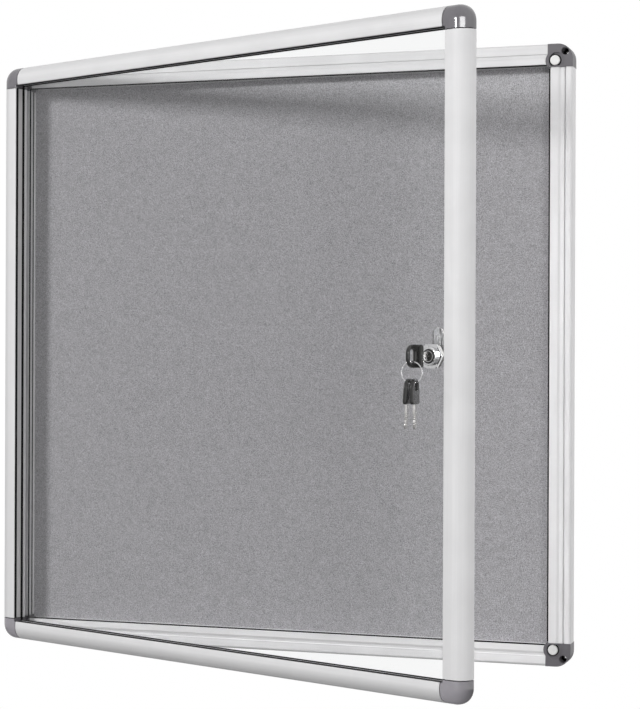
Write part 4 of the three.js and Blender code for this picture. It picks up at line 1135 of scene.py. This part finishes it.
class BOARD_OT_lock(bpy.types.Operator):
    """Build the cam lock: body, nuts, washer, plug, cam and its screw"""

    bl_idname = "notice_board.lock"
    bl_label = "Cam Lock"

    def execute(self, context):
        dressed("lock_body", "door", "chrome", "chrome", "lock")
        dressed("lock_front_nut", "door", "chrome", "chrome", "lock")
        dressed("lock_washer", "door", "steel", "steel", "washer")
        dressed("lock_rear_nut", "door", "steel", "steel", "lock")
        dressed("lock_plug", "lock_plug", "plug_enamel", "chrome", "small")
        self.painted_highlight_rim(dressed("lock_cam", "lock_plug", "cam_steel", "steel", "cam"))
        dressed("lock_cam_screw", "lock_plug", "steel", "steel", "small")
        self.plug_trim()
        self.thread(context.scene.board_lock.thread_pitch)
        return {"FINISHED"}

    def axis(self, y):
        """The shut door's frame moved onto the lock's axis, at a depth, and opened with the door."""
        return DOOR_PLACE @ Matrix.Translation((LOCK_CLOSED.x, y, LOCK_CLOSED.z))

    def painted_highlight_rim(self, cam):
        """Gives the cam's narrow sides and rounded edges the lighter steel finish: a painted highlight along its
        edges.
        """
        cam.data.materials.append(material("steel"))
        for polygon in cam.data.polygons:
            polygon.material_index = int(abs(polygon.normal.dot(DOOR_PLACE.col[1].xyz)) < CAM_FLAT_SHARE)

    def plug_trim(self):
        """A bright ring let into the groove of the plug's face."""
        inner, outer = PLUG_RING
        front, rear = PLUG_RING_RECESS, PLUG_RING_REAR
        points = [(inner, rear), (inner, front), (outer, front), (outer, rear)]
        face = node_box("lock_plug", DOOR_PLACE)[0].y
        turned_trim("plug_trim", points, self.axis(face), "lock_plug", "chrome", "chrome")

    def thread(self, pitch):
        """The part of the body's thread that stands free behind its nut."""
        body_end = node_box("lock_body", DOOR_PLACE)[1].y
        start = node_box("lock_rear_nut", DOOR_PLACE)[1].y + THREAD_FROM_NUT
        length = body_end - start - THREAD_FROM_END
        coil = coiled_wire(
            "lock_thread", THREAD_RADIUS, length / pitch, length, THREAD_WIRE, THREAD_WIRE, "chrome")
        coil.data.transform(self.axis(start) @ Matrix.Rotation(-QUARTER, 4, "X"))
        settle(facing_out(coil), "door", "chrome")


class BOARD_OT_keys(bpy.types.Operator):
    """Build the key in the lock, the split ring and the two keys that hang from it"""

    bl_idname = "notice_board.keys"
    bl_label = "Keys"

    def execute(self, context):
        for body in ("lock_key", "key_a", "key_b"):
            dressed(body + "_head", body, "key_plastic", "black_plastic", "key_head")
            dressed(body + "_blade", body, "steel", "steel", "small")
        self.ring(context.scene.board_lock.ring_coils)
        return {"FINISHED"}

    def ring(self, coils):
        """Flat wire in a few turns, together as wide as the CAD ring is thick."""
        points = node_points("key_ring")
        centre = sum(points, Vector()) / len(points)
        centred = [p - centre for p in points]
        reach = max(p.length for p in centred)
        normal = self.thinnest(centred)
        wire = max(abs(p.dot(normal)) for p in centred)
        height = 2 * wire / coils
        rise = height * (coils - 1)
        made = coiled_wire(
            "split_ring", reach - wire, float(coils), rise, height * RING_WIRE_HEIGHT,
            2 * wire * RING_WIRE_DEPTH, "ring_steel")
        turn = Vector((0, 0, 1)).rotation_difference(normal).to_matrix().to_4x4()
        made.data.transform(Matrix.Translation(centre) @ turn @ Matrix.Translation((0, 0, -rise / 2)))
        settle(facing_out(made), "key_ring", "steel", "key_ring")

    def thinnest(self, points):
        """The direction in which a flat cloud of points is thinnest, found from two of its spokes."""
        first = max(points, key=lambda p: p.length)
        second = max(points, key=lambda p: p.cross(first).length)
        return first.cross(second).normalized()


class BOARD_OT_stage(bpy.types.Operator):
    """Build the floor, the soft lights, the surround and the camera"""

    bl_idname = "notice_board.stage"
    bl_label = "Stage"

    def execute(self, context):
        settings = context.scene.board_stage
        self.floor(settings.floor_drop)
        self.surround(context.scene, settings.surround)
        for name in ("key_light", "fill_light", "strip_light"):
            self.lamp(name, settings)
        caps = [node + "_finished" for node in DOOR_CAPS]
        glossy = [*caps, "lock_body_finished", "lock_front_nut_finished"]
        self.lamp("cap_light", settings, glossy).visible_diffuse = False
        self.lamp("low_light", settings, [cap for cap in caps if "bottom" in cap]).visible_glossy = False
        self.camera(context.scene)
        context.scene.view_settings.view_transform = "Standard"
        return {"FINISHED"}

    def seen_rays(self, tree):
        """1 for the rays that show the stage itself, straight or through the pane."""
        rays = add_node(tree, "ShaderNodeLightPath").outputs
        return math_node(tree, "MAXIMUM", rays["Is Camera Ray"], rays["Is Transmission Ray"])

    def floor(self, drop):
        """A matte disc that looks nearly white, yet throws back less light than white would."""
        bm = bmesh.new()
        bmesh.ops.create_circle(bm, cap_ends=True, radius=FLOOR_RADIUS, segments=96)
        for v in bm.verts:
            v.co.z = -drop
        piece = object_from("floor", bm)
        made, tree, shader, vector = new_material("floor")
        cloud = noise_node(tree, vector, 3.0, 4.0)
        fill(tree, shader, {
            "Base Color": tinted(tree, FLOOR_COLOUR, cloud, 0.985, 1.015),
            "Roughness": 0.8,
            "Specular IOR Level": 0.1})
        glow = add_node(tree, "ShaderNodeEmission", {"Color": (1, 1, 1, 1), "Strength": 1.0})
        part = times(tree, self.seen_rays(tree), FLOOR_WHITE)
        values = {0: part, 1: shader.outputs[0], 2: glow.outputs[0]}
        show(tree, add_node(tree, "ShaderNodeMixShader", values))
        piece.data.materials.append(made)

    def surround(self, scene, strength):
        """White where it is seen, graded where glossy parts mirror it, and soft as light."""
        scene.world = bpy.data.worlds.new("surround")
        scene.world.use_nodes = True
        tree = scene.world.node_tree
        direction = add_node(tree, "ShaderNodeTexCoord").outputs["Generated"]
        parts = add_node(tree, "ShaderNodeSeparateXYZ", {0: direction}).outputs
        mirrored = chained(tree, "MULTIPLY", [ranged(tree, parts[i], *glow) for i, *glow in MIRRORED])
        even = times(tree, ranged(tree, parts[2], *EVEN_LIGHT), strength)
        rays = add_node(tree, "ShaderNodeLightPath").outputs
        lit = add_node(tree, "ShaderNodeMix", {0: rays["Is Glossy Ray"], 2: even, 3: mirrored}).outputs[0]
        shown = add_node(tree, "ShaderNodeMix", {0: self.seen_rays(tree), 2: lit, 3: 1.0}).outputs[0]
        fill(tree, tree.nodes["Background"], {"Color": (1, 1, 1, 1), "Strength": shown})

    def lamp(self, name, settings, receivers=()):
        """A soft lamp aimed at the board. With receivers, it lights these pieces alone."""
        power, size, place = LAMPS[name]
        light = bpy.data.lights.new(name, "AREA")
        light.shape = "RECTANGLE"
        light.size, light.size_y = size
        light.energy = getattr(settings, power)
        lamp = linked_object(name, light)
        lamp.location = place
        lamp.rotation_euler = (-Vector(place)).to_track_quat("-Z", "Y").to_euler()
        if receivers:
            linked = bpy.data.collections.new(name + "_receivers")
            for receiver in receivers:
                linked.objects.link(bpy.data.objects[receiver])
            lamp.light_linking.receiver_collection = linked
        return lamp

    def camera(self, scene):
        data = bpy.data.cameras.new("camera")
        data.lens = LENS
        data.sensor_width = SENSOR_WIDTH
        data.shift_x, data.shift_y = LENS_SHIFT
        scene.camera = linked_object("camera", data)
        turn = Matrix.Rotation(CAMERA_TURN, 4, "Z") @ Matrix.Rotation(QUARTER, 4, "X")
        roll = Matrix.Rotation(CAMERA_ROLL, 4, "Z")
        scene.camera.matrix_world = Matrix.Translation(CAMERA_PLACE) @ turn @ roll


PARTS = (
    BOARD_OT_frame_bars, BOARD_OT_frame_corners, BOARD_OT_pin_board, BOARD_OT_door_bars,
    BOARD_OT_door_caps, BOARD_OT_pane, BOARD_OT_lock, BOARD_OT_keys, BOARD_OT_stage)


class BOARD_PT_sidebar(bpy.types.Panel):
    bl_idname = "BOARD_PT_sidebar"
    bl_label = "Notice Board"
    bl_space_type = "VIEW_3D"
    bl_region_type = "UI"
    bl_category = "Notice Board"

    def draw(self, context):
        column = self.layout.column()
        for part in PARTS:
            column.operator(part.bl_idname)


GROUPS_OF_SETTINGS = (
    ("board_metal", BoardMetal), ("board_plastics", BoardPlastics), ("board_panel", BoardPanel),
    ("board_lock", BoardLock), ("board_stage", BoardStage))


def register():
    for name, kind in GROUPS_OF_SETTINGS:
        bpy.utils.register_class(kind)
        setattr(bpy.types.Scene, name, PointerProperty(type=kind))
    for kind in (*PARTS, BOARD_PT_sidebar):
        bpy.utils.register_class(kind)


def unregister():
    for kind in reversed((*PARTS, BOARD_PT_sidebar)):
        bpy.utils.unregister_class(kind)
    for name, kind in reversed(GROUPS_OF_SETTINGS):
        delattr(bpy.types.Scene, name)
        bpy.utils.unregister_class(kind)


def main():
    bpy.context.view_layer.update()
    register()
    for part in PARTS:
        category, name = part.bl_idname.split(".")
        getattr(getattr(bpy.ops, category), name)()


if __name__ == "__main__":
    main()
